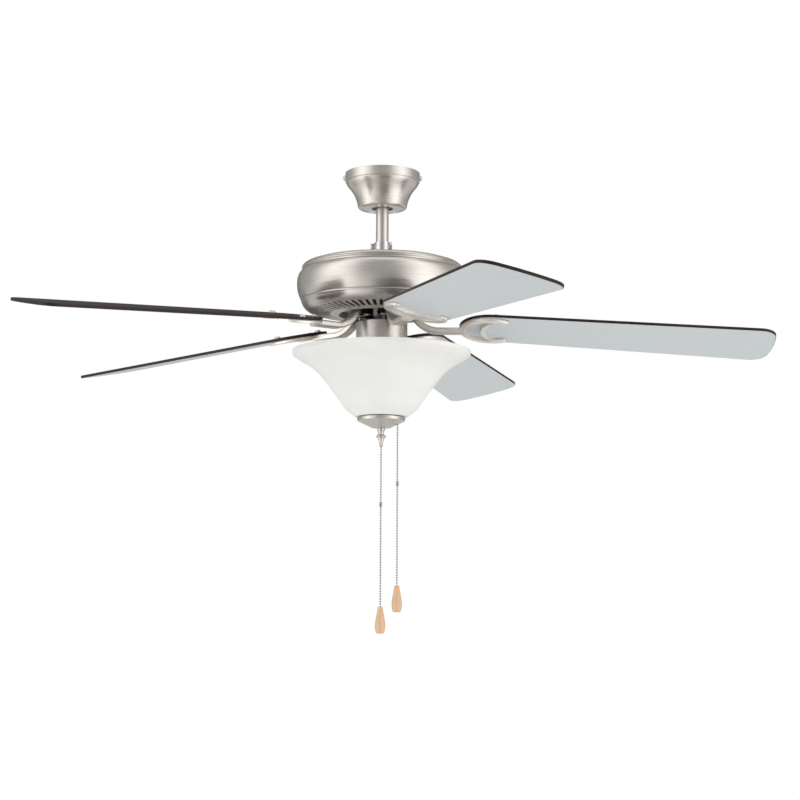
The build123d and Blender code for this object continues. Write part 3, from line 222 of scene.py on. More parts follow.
# Finishes by look: material, grain, its values, roughness range, bump and what else the material takes
LOOKS = {
    "nickel": (
        "brushed_nickel", "Turned grain", {"Rings": 900.0, "Sweep": 3.0}, (0.28, 0.36), 0.06,
        {"Metallic": 0.9, "Anisotropic": 0.6, "Anisotropic_Rotation": 0.25},
    ),
    "cast": (
        "cast_nickel", "Skin grain", {"Spot": 0.006, "Detail": 2.0}, (0.28, 0.34), 0.0, {"Metallic": 0.72},
    ),
    "bright": (
        "bright_plate", "Skin grain", {"Spot": 0.003, "Detail": 4.0}, (0.18, 0.30), 0.05, {"Metallic": 1.0},
    ),
    "steel": ("motor_steel", "Skin grain", {"Spot": 0.004, "Detail": 4.0}, (0.2, 0.35), 0.1, {}),
    "silver": ("blade_silver", "Skin grain", {"Spot": 0.0016, "Detail": 3.0}, (0.42, 0.52), 0.03, {}),
    "brown": (
        "blade_brown", "Wood grain", {"Along": 5.0, "Across": 140.0}, (0.3, 0.45), 0.15,
        {"source": BLADE_MAP, "Specular_IOR_Level": 0.25},
    ),
    "frost": (
        "frosted_glass", "Skin grain", {"Spot": 0.05, "Detail": 3.0}, (0.38, 0.46), 0.0,
        {"Subsurface_Weight": 0.2, "Subsurface_Scale": 0.004},
    ),
    "wood": (
        "pendant_wood", "Wood grain", {"Along": 30.0, "Across": 700.0}, (0.32, 0.40), 0.04,
        {"source": UPRIGHT, "Coat_Weight": 0.4},
    ),
    "black": (
        "moulded_black", "Skin grain", {"Spot": 0.002, "Detail": 4.0}, (0.4, 0.55), 0.08,
        {"Specular_IOR_Level": 0.25},
    ),
    "chain": (
        "chain_nickel", "Skin grain", {"Spot": 0.003, "Detail": 4.0}, (0.14, 0.24), 0.05, {"Metallic": 0.75},
    ),
    "copper": (
        "winding_copper", "Turned grain", {"Rings": 1400.0, "Sweep": 12.0}, (0.28, 0.42), 0.3,
        {"Metallic": 1.0},
    ),
    "cream": ("cream_moulding", "Skin grain", {"Spot": 0.003, "Detail": 4.0}, (0.32, 0.44), 0.04, {}),
}

# Stage in metres, degrees and watts; each range runs from its first to its second place
WORLD_LEVEL = 0.70
STAGE_COLUMNS = 96
FLOOR_RADIUS = 2.4
FLOOR_HEIGHT = -2.4
FLOOR_FADE = (0.8, 2.3)
FLOOR_COLOUR = (0.92, 0.92, 0.92, 1.0)
FLOOR_ROUGHNESS = 0.7
TENT_RADIUS = 4.8
TENT_HEIGHT = -0.35
TENT_ANGLES = range(-90, 66, 5)
TENT_COLOUR = (1.0, 0.985, 0.965, 1.0)
TENT_BACK = (3.0, 4.6)
TENT_LEVELS = (0.365, 0.12)
TENT_LOW = (-1.1, -0.4)
TENT_LOW_LEVEL = 0.62
STRIP_ASIDE = (0.45, 1.1)
STRIP_FRONT = (-1.5, -0.5)
STRIP_UNDER = (-2.4, -0.3)
STRIP_SHADE = 0.85
BAND_SHIFT = 1.5
BAND_CENTER = 64.0
BAND_HALF = 50.0
BAND_GAIN = 1.2
BAND_RISE = (-4.6, -2.5)
SOFTBOXES = ((-61.0, 39.0), (61.0, 39.0), (-150.0, 8.0), (150.0, 8.0))
SOFTBOX_SIZE = (1.9, 4.0)
SOFTBOX_DISTANCE = 2.6
SOFTBOX_HEIGHT = -0.45
AIM_HEIGHT = -0.35
SENSOR_WIDTH = 36.0
CAMERA_LENS = 89.9
CAMERA_PLACE = (0.03135, -3.329, -0.826)
CAMERA_TILT = 97.48
CAMERA_ROLL = 0.25


def length(name, text, metres):
    """Size property in metres."""
    return FloatProperty(name=name, description=text, default=metres, min=0.0, precision=5, unit="LENGTH")


def turn(name, text, degrees):
    """Angle property, its default in degrees."""
    return FloatProperty(name=name, description=text, default=math.radians(degrees), unit="ROTATION")


def tone(name, text, colour):
    """Colour property."""
    return FloatVectorProperty(
        name=name, description=text, default=colour, min=0.0, max=1.0, size=3, subtype="COLOR"
    )


class FanSizes(bpy.types.PropertyGroup):
    """Sizes that a user of the fan may change."""

    sheet_wall: length("Sheet wall", "Thickness of the canopy, housing and cap", 0.0012)
    bowl_wall: length("Bowl wall", "Thickness of the glass", 0.004)
    blade_count: IntProperty(name="Blades", description="Number of blades", default=5, min=2)
    blade_root_radius: length("Blade root", "Distance of the blade's root from the axis", 0.131)
    blade_tip_radius: length("Blade tip", "Distance of the blade's tip from the axis", 0.6604)
    blade_root_width: length("Root width", "Width of the blade at its root", 0.1118)
    blade_tip_width: length("Tip width", "Width of the blade at its tip", 0.1376)
    blade_tip_sag: length("Tip sag", "How far the middle of the tip stands out", 0.008)
    blade_tip_corner: length("Tip corner", "Radius of the tip's corners", 0.028)
    blade_thickness: length("Blade thickness", "Thickness of the blade", 0.005)
    blade_edge: length("Blade edge", "Rounding of the blade's edges", 0.0009)
    blade_gauge_radius: length("Gauge radius", "Radius at which the blade's height is taken", 0.250)
    blade_height: FloatProperty(
        name="Blade height", description="Height of the blade at the gauge radius", default=-0.272,
        precision=5, unit="LENGTH",
    )
    blade_pitch: turn("Blade pitch", "Turn of the blade about its length", 12.1)
    blade_droop: turn("Blade droop", "Fall of the blade towards its tip", 3.3)
    blade_screw_setback: length("Prong screws", "Distance of the prong screws from the blade's root", 0.059)
    blade_screw_offset: length("Prong offset", "Distance of the prong screws from the blade's middle", 0.046)
    blade_screw_inset: length("Root screw", "Distance of the root screw from the blade's root", 0.0055)
    arm_screw_circle: length("Arm screws", "Distance of the arm's screws from the axis", 0.037)
    arm_screw_offset: length("Arm screw offset", "Distance of the arm's screws from its middle", 0.0095)
    lid_screw_circle: length("Lid screws", "Distance of the lid's screws from the axis", 0.034)
    bead_diameter: length("Bead", "Diameter of a chain bead", 0.0032)
    bead_pitch: length("Bead pitch", "Distance between beads", 0.0043)
    bead_wire: length("Bead wire", "Diameter of the wire between beads", 0.0006)
    light_chain_offset: length("Light chain", "Distance of the light's chain from the axis", 0.0274)


# Colours by look: where it is, its shade and its light tone
COLOURS = {
    "nickel": ("Brushed nickel", (0.610, 0.575, 0.530), (0.760, 0.735, 0.695)),
    "cast": ("Plated castings", (0.860, 0.810, 0.750), (0.920, 0.875, 0.815)),
    "bright": ("Zinc plating and screws", (0.640, 0.640, 0.635), (0.780, 0.780, 0.775)),
    "steel": ("Dark motor steel", (0.012, 0.012, 0.012), (0.032, 0.031, 0.030)),
    "silver": ("Blade underside", (0.545, 0.580, 0.594), (0.580, 0.614, 0.626)),
    "brown": ("Blade top and edges", (0.009, 0.006, 0.005), (0.034, 0.020, 0.014)),
    "frost": ("Frosted glass", (0.782, 0.786, 0.754), (0.806, 0.805, 0.770)),
    "wood": ("Pendant wood", (0.600, 0.365, 0.205), (0.720, 0.480, 0.300)),
    "black": ("Moulded black", (0.004, 0.004, 0.004), (0.012, 0.012, 0.013)),
    "chain": ("Bead chain", (0.300, 0.285, 0.270), (0.500, 0.480, 0.455)),
    "copper": ("Windings", (0.420, 0.170, 0.070), (0.720, 0.340, 0.160)),
    "cream": ("Sockets", (0.640, 0.620, 0.560), (0.740, 0.720, 0.660)),
}


class FanColours(bpy.types.PropertyGroup):
    """Colours of the finishes, each from its shade to its light tone."""

    # Painted shade: a dark tone laid on the castings near the fan's axis, where they go into the motor's
    # shade
    painted_hub_shade: tone("Painted hub shade", "Castings where they enter the motor", (0.016, 0.015, 0.014))
    for look, (words, shade, light) in COLOURS.items():
        __annotations__[f"{look}_shade"] = tone(f"{look.title()} shade", f"{words}, darker parts", shade)
        __annotations__[f"{look}_light"] = tone(f"{look.title()} light", f"{words}, lighter parts", light)
    del look, words, shade, light


# Meshes


def rounded(corners):
    """Points in metres along a line of (across, up, corner radius) in millimetres, its corners turned."""
    points = []
    last = len(corners) - 1
    for index, (across, up, radius) in enumerate(corners):
        corner = Vector((across, up))
        if radius == 0 or index in (0, last):
            points.append(corner)
            continue
        back = (Vector(corners[index - 1][:2]) - corner).normalized()
        ahead = (Vector(corners[index + 1][:2]) - corner).normalized()
        opening = back.angle(ahead)
        center = corner + (back + ahead).normalized() * radius / math.sin(opening / 2)
        spoke = corner + back * radius / math.tan(opening / 2) - center
        sweep = math.pi - opening
        if back.x * ahead.y - back.y * ahead.x > 0:
            sweep = -sweep
        steps = max(2, math.ceil(abs(sweep) / ARC_STEP))
        for step in range(steps + 1):
            points.append(center + Matrix.Rotation(sweep * step / steps, 2) @ spoke)
    return [point * MM for point in points]


def walled(line, wall):
    """Closed outline of a wall of one thickness on the inner side of a line, its right side as it runs."""
    inner = []
    for index, point in enumerate(line):
        before = line[max(index - 1, 0)]
        after = line[min(index + 1, len(line) - 1)]
        along = (after - before).normalized()
        inner.append(point + Vector((along.y, -along.x)) * wall)
    return list(line) + inner[::-1]


def turned(outline, columns=TURNED_COLUMNS, closed=True, across=0.0, lift=0.0):
    """Mesh of an outline of (radius, height) points turned about an upright axis."""
    points = []
    rings = []
    for radius, height in outline:
        first = len(points)
        count = 1 if radius < MERGE_DISTANCE else columns
        rings.append([first + column for column in range(count)])
        for column in range(count):
            angle = 2 * math.pi * column / columns
            points.append((across + radius * math.cos(angle), radius * math.sin(angle), height + lift))
    pairs = list(zip(rings, rings[1:]))
    if closed:
        pairs.append((rings[-1], rings[0]))
    faces = []
    for lower, upper in pairs:
        for column in range(columns):
            ahead = column + 1
            corners = [
                lower[column % len(lower)],
                lower[ahead % len(lower)],
                upper[ahead % len(upper)],
                upper[column % len(upper)],
            ]
            face = list(dict.fromkeys(corners))
            if len(face) > 2:
                faces.append(face)
    mesh = bpy.data.meshes.new("turned")
    mesh.from_pydata(points, [], faces)
    return tidy(mesh, recalculate=True)


def tidy(mesh, recalculate=False):
    """Merges doubles, shades smooth and keeps the sharp edges; made walls also get outward faces."""
    work = bmesh.new()
    work.from_mesh(mesh)
    bmesh.ops.remove_doubles(work, verts=work.verts, dist=MERGE_DISTANCE)
    bmesh.ops.dissolve_degenerate(work, edges=work.edges, dist=MERGE_DISTANCE)
    if recalculate:
        bmesh.ops.recalc_face_normals(work, faces=work.faces)
    for face in work.faces:
        face.smooth = True
    for edge in work.edges:
        edge.smooth = len(edge.link_faces) == 2 and edge.calc_face_angle() < SHARP_ANGLE
    work.to_mesh(mesh)
    work.free()
    return mesh


def merged_copy(node):
    """Smooth copy of a solid's mesh."""
    return tidy(frame["nodes"][node].data.copy())


def placed(name, data):
    """New object in the scene."""
    thing = bpy.data.objects.new(name, data)
    bpy.context.scene.collection.objects.link(thing)
    return thing


def evaluated(thing):
    """Mesh of an object with its modifiers applied."""
    depsgraph = bpy.context.evaluated_depsgraph_get()
    return bpy.data.meshes.new_from_object(thing.evaluated_get(depsgraph), depsgraph=depsgraph)


def dress(name, mesh, finishes, node):
    """Object of a finished mesh that stands for a solid, hides the solid and moves with its body."""
    piece = placed(name, mesh)
    mesh.name = name
    # Clearing puts every face on the first finish, so a made mesh, which has none yet, is left alone
    if len(mesh.materials):
        mesh.materials.clear()
    for finish in finishes:
        mesh.materials.append(finish)
    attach(piece, NODE_BODY[node])
    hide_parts(node)
    return piece


def dress_copy(name, node, finish):
    """Dresses a smooth copy of a solid."""
    dress(name, merged_copy(node), [finish], node)


def dress_wall(name, outline, wall, finish, node):
    """Dresses a turned wall of one thickness."""
    dress(name, turned(walled(rounded(outline), wall)), [finish], node)


def coat(finish, *nodes):
    """Gives solids that stay in view their finish."""
    for node in nodes:
        for slot in frame["nodes"][node].material_slots:
            slot.material = finish


def blade_matrix(sizes, number):
    """Place of a blade: X outward along its underside, Y across it and Z up through it."""
    droop = sizes.blade_droop
    pitch = sizes.blade_pitch
    height = sizes.blade_height
    height += (sizes.blade_gauge_radius - sizes.blade_root_radius) * math.tan(droop)
    along = Vector((math.cos(droop), 0.0, -math.sin(droop)))
    above = Vector(
        (
            math.sin(droop) * math.cos(pitch),
            math.cos(droop) * math.sin(pitch),
            math.cos(droop) * math.cos(pitch),
        )
    )
    above = (above - along * above.dot(along)).normalized()
    across = above.cross(along)
    place = Matrix.Identity(4)
    for row in range(3):
        place[row][0], place[row][1], place[row][2] = along[row], across[row], above[row]
    place.translation = (sizes.blade_root_radius, 0.0, height)
    return Matrix.Rotation(2 * math.pi * number / sizes.blade_count, 4, "Z") @ place


# Nodes


def geometry_tree(name, inputs):
    """Geometry node tree with a geometry in and out and named inputs; gives it with its two end nodes."""
    tree = bpy.data.node_groups.new(name, "GeometryNodeTree")
    tree.interface.new_socket(name="Geometry", in_out="INPUT", socket_type="NodeSocketGeometry")
    for socket, kind in inputs:
        tree.interface.new_socket(name=socket, in_out="INPUT", socket_type=kind)
    tree.interface.new_socket(name="Geometry", in_out="OUTPUT", socket_type="NodeSocketGeometry")
    return tree, tree.nodes.new("NodeGroupInput"), tree.nodes.new("NodeGroupOutput")


def put(tree, value, socket):
    """Links a socket or sets a value."""
    if isinstance(value, bpy.types.NodeSocket):
        tree.links.new(value, socket)
    else:
        socket.default_value = value


def make(tree, kind, settings=None, **inputs):
    """New node with its settings, and its inputs linked or set by name, spaces as underscores."""
    node = tree.nodes.new(kind)
    for name, value in (settings or {}).items():
        setattr(node, name, value)
    for name, value in inputs.items():
        put(tree, value, node.inputs[name.replace("_", " ")])
    return node


def calc(tree, operation, first, second=0.0):
    """Output of a math node."""
    node = make(tree, "ShaderNodeMath", {"operation": operation})
    put(tree, first, node.inputs[0])
    put(tree, second, node.inputs[1])
    return node.outputs[0]


def spread(tree, value, start, end, first=0.0, last=1.0, way="LINEAR"):
    """Output of a map range node."""
    node = make(
        tree, "ShaderNodeMapRange", {"interpolation_type": way}, Value=value,
        From_Min=start, From_Max=end, To_Min=first, To_Max=last,
    )
    return node.outputs[0]


def object_parts(tree):
    """X, Y and Z of the place on the object."""
    place = tree.nodes.new("ShaderNodeTexCoord")
    return make(tree, "ShaderNodeSeparateXYZ", Vector=place.outputs["Object"]).outputs


def axis_distance(tree):
    """Distance from the upright axis."""
    place = tree.nodes.new("ShaderNodeTexCoord")
    flat = make(tree, "ShaderNodeVectorMath", {"operation": "MULTIPLY"})
    put(tree, place.outputs["Object"], flat.inputs[0])
    put(tree, (1.0, 1.0, 0.0), flat.inputs[1])
    reach = make(tree, "ShaderNodeVectorMath", {"operation": "LENGTH"})
    put(tree, flat.outputs[0], reach.inputs[0])
    return reach.outputs["Value"]


def close_tree(tree, shapes, finish, end):
    """Joins shapes, makes them real, shades them smooth, gives them the finish and ends the tree."""
    joined = tree.nodes.new("GeometryNodeJoinGeometry")
    for shape in shapes:
        tree.links.new(shape, joined.inputs[0])
    real = make(tree, "GeometryNodeRealizeInstances", Geometry=joined.outputs[0])
    smooth = make(tree, "GeometryNodeSetShadeSmooth", Geometry=real.outputs[0])
    painted = make(tree, "GeometryNodeSetMaterial", Geometry=smooth.outputs[0], Material=finish)
    tree.links.new(painted.outputs[0], end.inputs[0])


def bead_tree():
    """Tree that strings beads and their wire along a line."""
    name = "Bead chain"
    if name in bpy.data.node_groups:
        return bpy.data.node_groups[name]
    tree, start, end = geometry_tree(
        name,
        (
            ("Bead diameter", "NodeSocketFloat"),
            ("Bead pitch", "NodeSocketFloat"),
            ("Wire diameter", "NodeSocketFloat"),
            ("Finish", "NodeSocketMaterial"),
        ),
    )
    line = make(tree, "GeometryNodeMeshToCurve", Mesh=start.outputs["Geometry"])
    places = make(
        tree, "GeometryNodeResampleCurve", {"mode": "LENGTH"}, Curve=line.outputs[0],
        Length=start.outputs["Bead pitch"],
    )
    half_bead = calc(tree, "MULTIPLY", start.outputs["Bead diameter"], 0.5)
    half_wire = calc(tree, "MULTIPLY", start.outputs["Wire diameter"], 0.5)
    bead = make(
        tree, "GeometryNodeMeshUVSphere", Segments=BEAD_SEGMENTS, Rings=BEAD_RINGS, Radius=half_bead
    )
    beads = make(tree, "GeometryNodeInstanceOnPoints", Points=places.outputs[0], Instance=bead.outputs[0])
    section = make(tree, "GeometryNodeCurvePrimitiveCircle", Resolution=WIRE_SIDES, Radius=half_wire)
    wire = make(
        tree, "GeometryNodeCurveToMesh", Curve=places.outputs[0], Profile_Curve=section.outputs[0],
        Fill_Caps=True,
    )
    close_tree(tree, (beads.outputs[0], wire.outputs[0]), start.outputs["Finish"], end)
    return tree


def screw_tree():
    """Tree that sets a screw head and its shank on each point, facing along the point's own direction."""
    name = "Screws"
    if name in bpy.data.node_groups:
        return bpy.data.node_groups[name]
    tree, start, end = geometry_tree(
        name,
        (
            ("Head", "NodeSocketObject"),
            ("Head radius", "NodeSocketFloat"),
            ("Head height", "NodeSocketFloat"),
            ("Shank radius", "NodeSocketFloat"),
            ("Shank length", "NodeSocketFloat"),
            ("Finish", "NodeSocketMaterial"),
        ),
    )
    facing = make(tree, "GeometryNodeInputNamedAttribute", {"data_type": "FLOAT_VECTOR"}, Name="facing")
    way = make(tree, "FunctionNodeAlignRotationToVector", {"axis": "Z"}, Vector=facing.outputs[0])
    size = make(
        tree, "ShaderNodeCombineXYZ", X=start.outputs["Head radius"], Y=start.outputs["Head radius"],
        Z=start.outputs["Head height"],
    )
    head = make(tree, "GeometryNodeObjectInfo", {"transform_space": "ORIGINAL"}, Object=start.outputs["Head"])
    heads = make(
        tree, "GeometryNodeInstanceOnPoints", Points=start.outputs["Geometry"],
        Instance=head.outputs["Geometry"], Rotation=way.outputs[0], Scale=size.outputs[0],
    )
    rod = make(
        tree, "GeometryNodeMeshCylinder", Vertices=SHANK_SIDES, Radius=start.outputs["Shank radius"],
        Depth=start.outputs["Shank length"],
    )
    sunk = calc(tree, "MULTIPLY", start.outputs["Shank length"], -0.5)
    below = make(tree, "ShaderNodeCombineXYZ", Z=sunk)
    shank = make(tree, "GeometryNodeTransform", Geometry=rod.outputs[0], Translation=below.outputs[0])
    shanks = make(
        tree, "GeometryNodeInstanceOnPoints", Points=start.outputs["Geometry"], Instance=shank.outputs[0],
        Rotation=way.outputs[0],
    )
    close_tree(tree, (heads.outputs[0], shanks.outputs[0]), start.outputs["Finish"], end)
    return tree


def grown(carrier_mesh, tree, values):
    """Plain mesh that a geometry node tree grows from a carrier mesh with the given inputs."""
    carrier = placed("carrier", carrier_mesh)
    modifier = carrier.modifiers.new("Grow", "NODES")
    modifier.node_group = tree
    for item in tree.interface.items_tree:
        if item.in_out == "INPUT" and item.name in values:
            modifier[item.identifier] = values[item.name]
    mesh = evaluated(carrier)
    carrier.modifiers.remove(modifier)
    bpy.data.objects.remove(carrier)
    if not mesh.polygons:
        raise RuntimeError("a geometry node tree gave no faces")
    return mesh


def screw_head():
    """Head of one unit radius and height: a low dome with a cross recess, made once."""
    name = "screw_head"
    if name in bpy.data.objects:
        return bpy.data.objects[name]
    head = placed(name, turned(rounded(HEAD_OUTLINE), columns=HEAD_COLUMNS, closed=False))
    slots = bpy.data.meshes.new("cross")
    work = bmesh.new()
    middle = Matrix.Translation((0, 0, CROSS_MIDDLE))
    for wide, deep in CROSS_ARMS:
        place = middle @ Matrix.Diagonal((wide, deep, CROSS_DEPTH, 1))
        bmesh.ops.create_cube(work, size=1.0, matrix=place)
    work.to_mesh(slots)
    work.free()
    cutter = placed("cross", slots)
    cut = head.modifiers.new("Cross", "BOOLEAN")
    cut.object = cutter
    cut.operation = "DIFFERENCE"
    cut.solver = "EXACT"
    cut.use_self = True
    mesh = evaluated(head)
    head.modifiers.remove(cut)
    head.data = tidy(mesh)
    bpy.data.objects.remove(cutter)
    return head


def screws(node, places, finish):
    """Group of like screws at (point, direction) places, in metres, in place of a node."""
    head_radius, head_height, shank_radius, shank_length = (size * MM for size in SCREW_SIZES[node])
    carrier = bpy.data.meshes.new("places")
    carrier.from_pydata([point for point, direction in places], [], [])
    facing = carrier.attributes.new("facing", "FLOAT_VECTOR", "POINT")
    for item, (point, direction) in zip(facing.data, places):
        item.vector = direction
    mesh = grown(
        carrier,
        screw_tree(),
        {
            "Head": screw_head(),
            "Head radius": head_radius,
            "Head height": head_height,
            "Shank radius": shank_radius,
            "Shank length": shank_length,
            "Finish": finish,
        },
    )
    dress(f"{node}_crossed", tidy(mesh), [finish], node)


# Finishes


def shader_group(name, inputs):
    """Shader node group with named inputs and one output, the pattern's grain; gives it with its ends."""
    tree = bpy.data.node_groups.new(name, "ShaderNodeTree")
    for socket, kind, value in inputs:
        made = tree.interface.new_socket(name=socket, in_out="INPUT", socket_type=kind)
        if kind == "NodeSocketFloat":
            made.default_value = value
    tree.interface.new_socket(name="Grain", in_out="OUTPUT", socket_type="NodeSocketFloat")
    return tree, tree.nodes.new("NodeGroupInput"), tree.nodes.new("NodeGroupOutput")


def turned_grain():
    """Fine streaks round the fan's axis, as a lathe and a brush leave them."""
    tree, start, end = shader_group(
        "Turned grain", (("Rings", "NodeSocketFloat", 700.0), ("Sweep", "NodeSocketFloat", 3.0))
    )
    across, deep, up = object_parts(tree)
    squares = calc(
        tree, "ADD", calc(tree, "MULTIPLY", across, across), calc(tree, "MULTIPLY", deep, deep)
    )
    radius = calc(tree, "ADD", calc(tree, "SQRT", squares), MERGE_DISTANCE)
    sweep = start.outputs["Sweep"]
    streak = make(
        tree, "ShaderNodeCombineXYZ",
        X=calc(tree, "MULTIPLY", calc(tree, "DIVIDE", across, radius), sweep),
        Y=calc(tree, "MULTIPLY", calc(tree, "DIVIDE", deep, radius), sweep),
        Z=calc(tree, "MULTIPLY", up, start.outputs["Rings"]),
    )
    noise = make(
        tree, "ShaderNodeTexNoise", {"noise_dimensions": "4D"}, Vector=streak.outputs[0],
        W=calc(tree, "MULTIPLY", radius, start.outputs["Rings"]), Scale=1.0, Detail=3.0, Roughness=0.6,
    )
    tree.links.new(noise.outputs[0], end.inputs[0])


def skin_grain():
    """Even mottling of castings, paint, plating and glass."""
    tree, start, end = shader_group(
        "Skin grain", (("Spot", "NodeSocketFloat", 0.004), ("Detail", "NodeSocketFloat", 4.0))
    )
    place = tree.nodes.new("ShaderNodeTexCoord")
    noise = make(
        tree, "ShaderNodeTexNoise", Vector=place.outputs["Object"],
        Scale=calc(tree, "DIVIDE", 1.0, start.outputs["Spot"]), Detail=start.outputs["Detail"],
        Roughness=0.55,
    )
    tree.links.new(noise.outputs[0], end.inputs[0])


def wood_grain():
    """Long wandering streaks along the vector's X, with finer pores in them."""
    tree, start, end = shader_group(
        "Wood grain",
        (
            ("Vector", "NodeSocketVector", None),
            ("Along", "NodeSocketFloat", 5.0),
            ("Across", "NodeSocketFloat", 120.0),
        ),
    )
    parts = make(tree, "ShaderNodeSeparateXYZ", Vector=start.outputs["Vector"])
    streak = make(
        tree, "ShaderNodeCombineXYZ", X=calc(tree, "MULTIPLY", parts.outputs[0], start.outputs["Along"]),
        Y=calc(tree, "MULTIPLY", parts.outputs[1], start.outputs["Across"]),
        Z=calc(tree, "MULTIPLY", parts.outputs[2], start.outputs["Across"]),
    )
    bands = make(
        tree, "ShaderNodeTexNoise", Vector=streak.outputs[0], Scale=1.0, Detail=3.0, Distortion=0.7
    )
    pores = make(tree, "ShaderNodeTexNoise", Vector=streak.outputs[0], Scale=5.0, Detail=2.0)
    mixed = calc(
        tree, "ADD", calc(tree, "MULTIPLY", bands.outputs[0], 1.0 - PORE_SHARE),
        calc(tree, "MULTIPLY", pores.outputs[0], PORE_SHARE),
    )
    tree.links.new(mixed, end.inputs[0])


def painted_shade_mask():
    """Mask for the painted shade by distance from the fan's axis: nothing close to the axis, whole past it.
    """
    tree, start, end = shader_group(
        "Hub reach", (("Inner", "NodeSocketFloat", 0.046), ("Outer", "NodeSocketFloat", 0.066))
    )
    inner, outer = start.outputs["Inner"], start.outputs["Outer"]
    mask = spread(tree, axis_distance(tree), inner, outer, way="SMOOTHSTEP")
    tree.links.new(mask, end.inputs[0])


def finish(name, group, values, shade, light, rough, bump, source=None, painted_shade_tone=None, **constants):
    """Material whose colour, roughness and bump follow a grain group; constants are set on the shader.

    A painted shade tone darkens the material near the fan's axis. The names differ from the CAD materials'
    names.
    """
    if name in bpy.data.materials:
        return bpy.data.materials[name]
    material = bpy.data.materials.new(name)
    material.use_nodes = True
    tree = material.node_tree
    shader = tree.nodes["Principled BSDF"]
    grain = make(tree, "ShaderNodeGroup", {"node_tree": bpy.data.node_groups[group]}, **values)
    if source == BLADE_MAP:
        flat = make(tree, "ShaderNodeUVMap", {"uv_map": BLADE_MAP})
        tree.links.new(flat.outputs[0], grain.inputs["Vector"])
    elif source == UPRIGHT:
        across, deep, up = object_parts(tree)
        upright = make(tree, "ShaderNodeCombineXYZ", X=up, Y=across, Z=deep)
        tree.links.new(upright.outputs[0], grain.inputs["Vector"])
    ramp = make(tree, "ShaderNodeValToRGB", Fac=grain.outputs[0])
    for element, place, tint in zip(ramp.color_ramp.elements, GRAIN_RANGE, (shade, light)):
        element.position, element.color = place, (*tint, 1.0)
    colour = ramp.outputs[0]
    # Painted shade: the colour turns to the dark tone towards the fan's axis, where the castings go into the
    # motor's shade
    if painted_shade_tone:
        reach = make(tree, "ShaderNodeGroup", {"node_tree": bpy.data.node_groups["Hub reach"]})
        blend = make(tree, "ShaderNodeMix", {"data_type": "RGBA"})
        tree.links.new(reach.outputs[0], blend.inputs[0])
        blend.inputs[6].default_value = (*painted_shade_tone, 1.0)
        tree.links.new(colour, blend.inputs[7])
        colour = blend.outputs[2]
    tree.links.new(colour, shader.inputs["Base Color"])
    tree.links.new(spread(tree, grain.outputs[0], *GRAIN_RANGE, *rough), shader.inputs["Roughness"])
    if bump:
        relief = make(tree, "ShaderNodeBump", Height=grain.outputs[0], Strength=bump, Distance=BUMP_DEPTH)
        tree.links.new(relief.outputs[0], shader.inputs["Normal"])
    if "Anisotropic" in constants:
        across, deep, up = object_parts(tree)
        around = make(tree, "ShaderNodeCombineXYZ", X=calc(tree, "MULTIPLY", deep, -1.0), Y=across)
        tree.links.new(around.outputs[0], shader.inputs["Tangent"])
    for socket, value in constants.items():
        shader.inputs[socket.replace("_", " ")].default_value = value
    return material


def finishes(colours):
    """All finishes of the fan by name, made on the first call."""
    if "Turned grain" not in bpy.data.node_groups:
        turned_grain()
        skin_grain()
        wood_grain()
        painted_shade_mask()
    looks = {}
    for look, (name, group, values, rough, bump, others) in LOOKS.items():
        shade = getattr(colours, f"{look}_shade")
        light = getattr(colours, f"{look}_light")
        # Only the castings get the painted shade near the axis
        painted_shade_tone = colours.painted_hub_shade if look == PAINTED_SHADE_LOOK else None
        looks[look] = finish(name, group, values, shade, light, rough, bump, painted_shade_tone=painted_shade_tone, **others)
    return looks


# Operators


class FanPiece:
    """What the operators of the fan's pieces share: each builds with the sizes and the finishes."""

    def execute(self, context):
        self.build(context.scene.fan_sizes, finishes(context.scene.fan_colours))
        return {"FINISHED"}


class FAN_OT_canopy(FanPiece, bpy.types.Operator):
    """Canopy, its plate, its two screws and the bracket and ball behind it"""

    bl_idname = "ceiling_fan.canopy"
    bl_label = "Canopy"

    def build(self, sizes, looks):
        dress_wall("canopy_cover", CANOPY_OUTLINE, sizes.sheet_wall, looks["nickel"], "canopy")
        dress_copy("canopy_floor", "canopy_plate", looks["bright"])
        dress_copy("bracket", "hanger_bracket", looks["black"])
        dress_copy("ball", "hanger_ball", looks["black"])
        coat(looks["bright"], "ball_pin")
        low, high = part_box("canopy_screws")
        drop = (low[2] + high[2]) / 2
        face = CANOPY_OUTLINE[0][0] * MM
        places = [((side * face, 0.0, drop), (side, 0.0, 0.0)) for side in (-1, 1)]
        screws("canopy_screws", places, looks["bright"])


class FAN_OT_downrod(FanPiece, bpy.types.Operator):
    """Downrod with the yoke, pin, clip and set screws that hold it"""

    bl_idname = "ceiling_fan.downrod"
    bl_label = "Downrod and yoke"

    def build(self, sizes, looks):
        dress_copy("rod", "downrod", looks["nickel"])
        for node in ("yoke", "yoke_pin", "hairpin_clip", "yoke_screws"):
            dress_copy(f"{node}_plated", node, looks["bright"])


class FAN_OT_housing(FanPiece, bpy.types.Operator):
    """Motor housing: lid, shell, slotted pan and lid screws"""

    bl_idname = "ceiling_fan.housing"
    bl_label = "Motor housing"

    def build(self, sizes, looks):
        dress_wall("lid", LID_OUTLINE, sizes.sheet_wall, looks["nickel"], "housing_lid")
        dress_wall("shell", SHELL_OUTLINE, sizes.sheet_wall, looks["nickel"], "housing_shell")
        dress_copy("pan", "housing_pan", looks["nickel"])
        places = []
        lid_top = Vector((0.0, 0.0, LID_OUTLINE[0][1] * MM))
        for degrees in (45, 135, 225, 315):
            way = Matrix.Rotation(math.radians(degrees), 3, "Z") @ Vector((1.0, 0.0, 0.0))
            places.append((way * sizes.lid_screw_circle + lid_top, (0.0, 0.0, 1.0)))
        screws("housing_screws", places, looks["bright"])


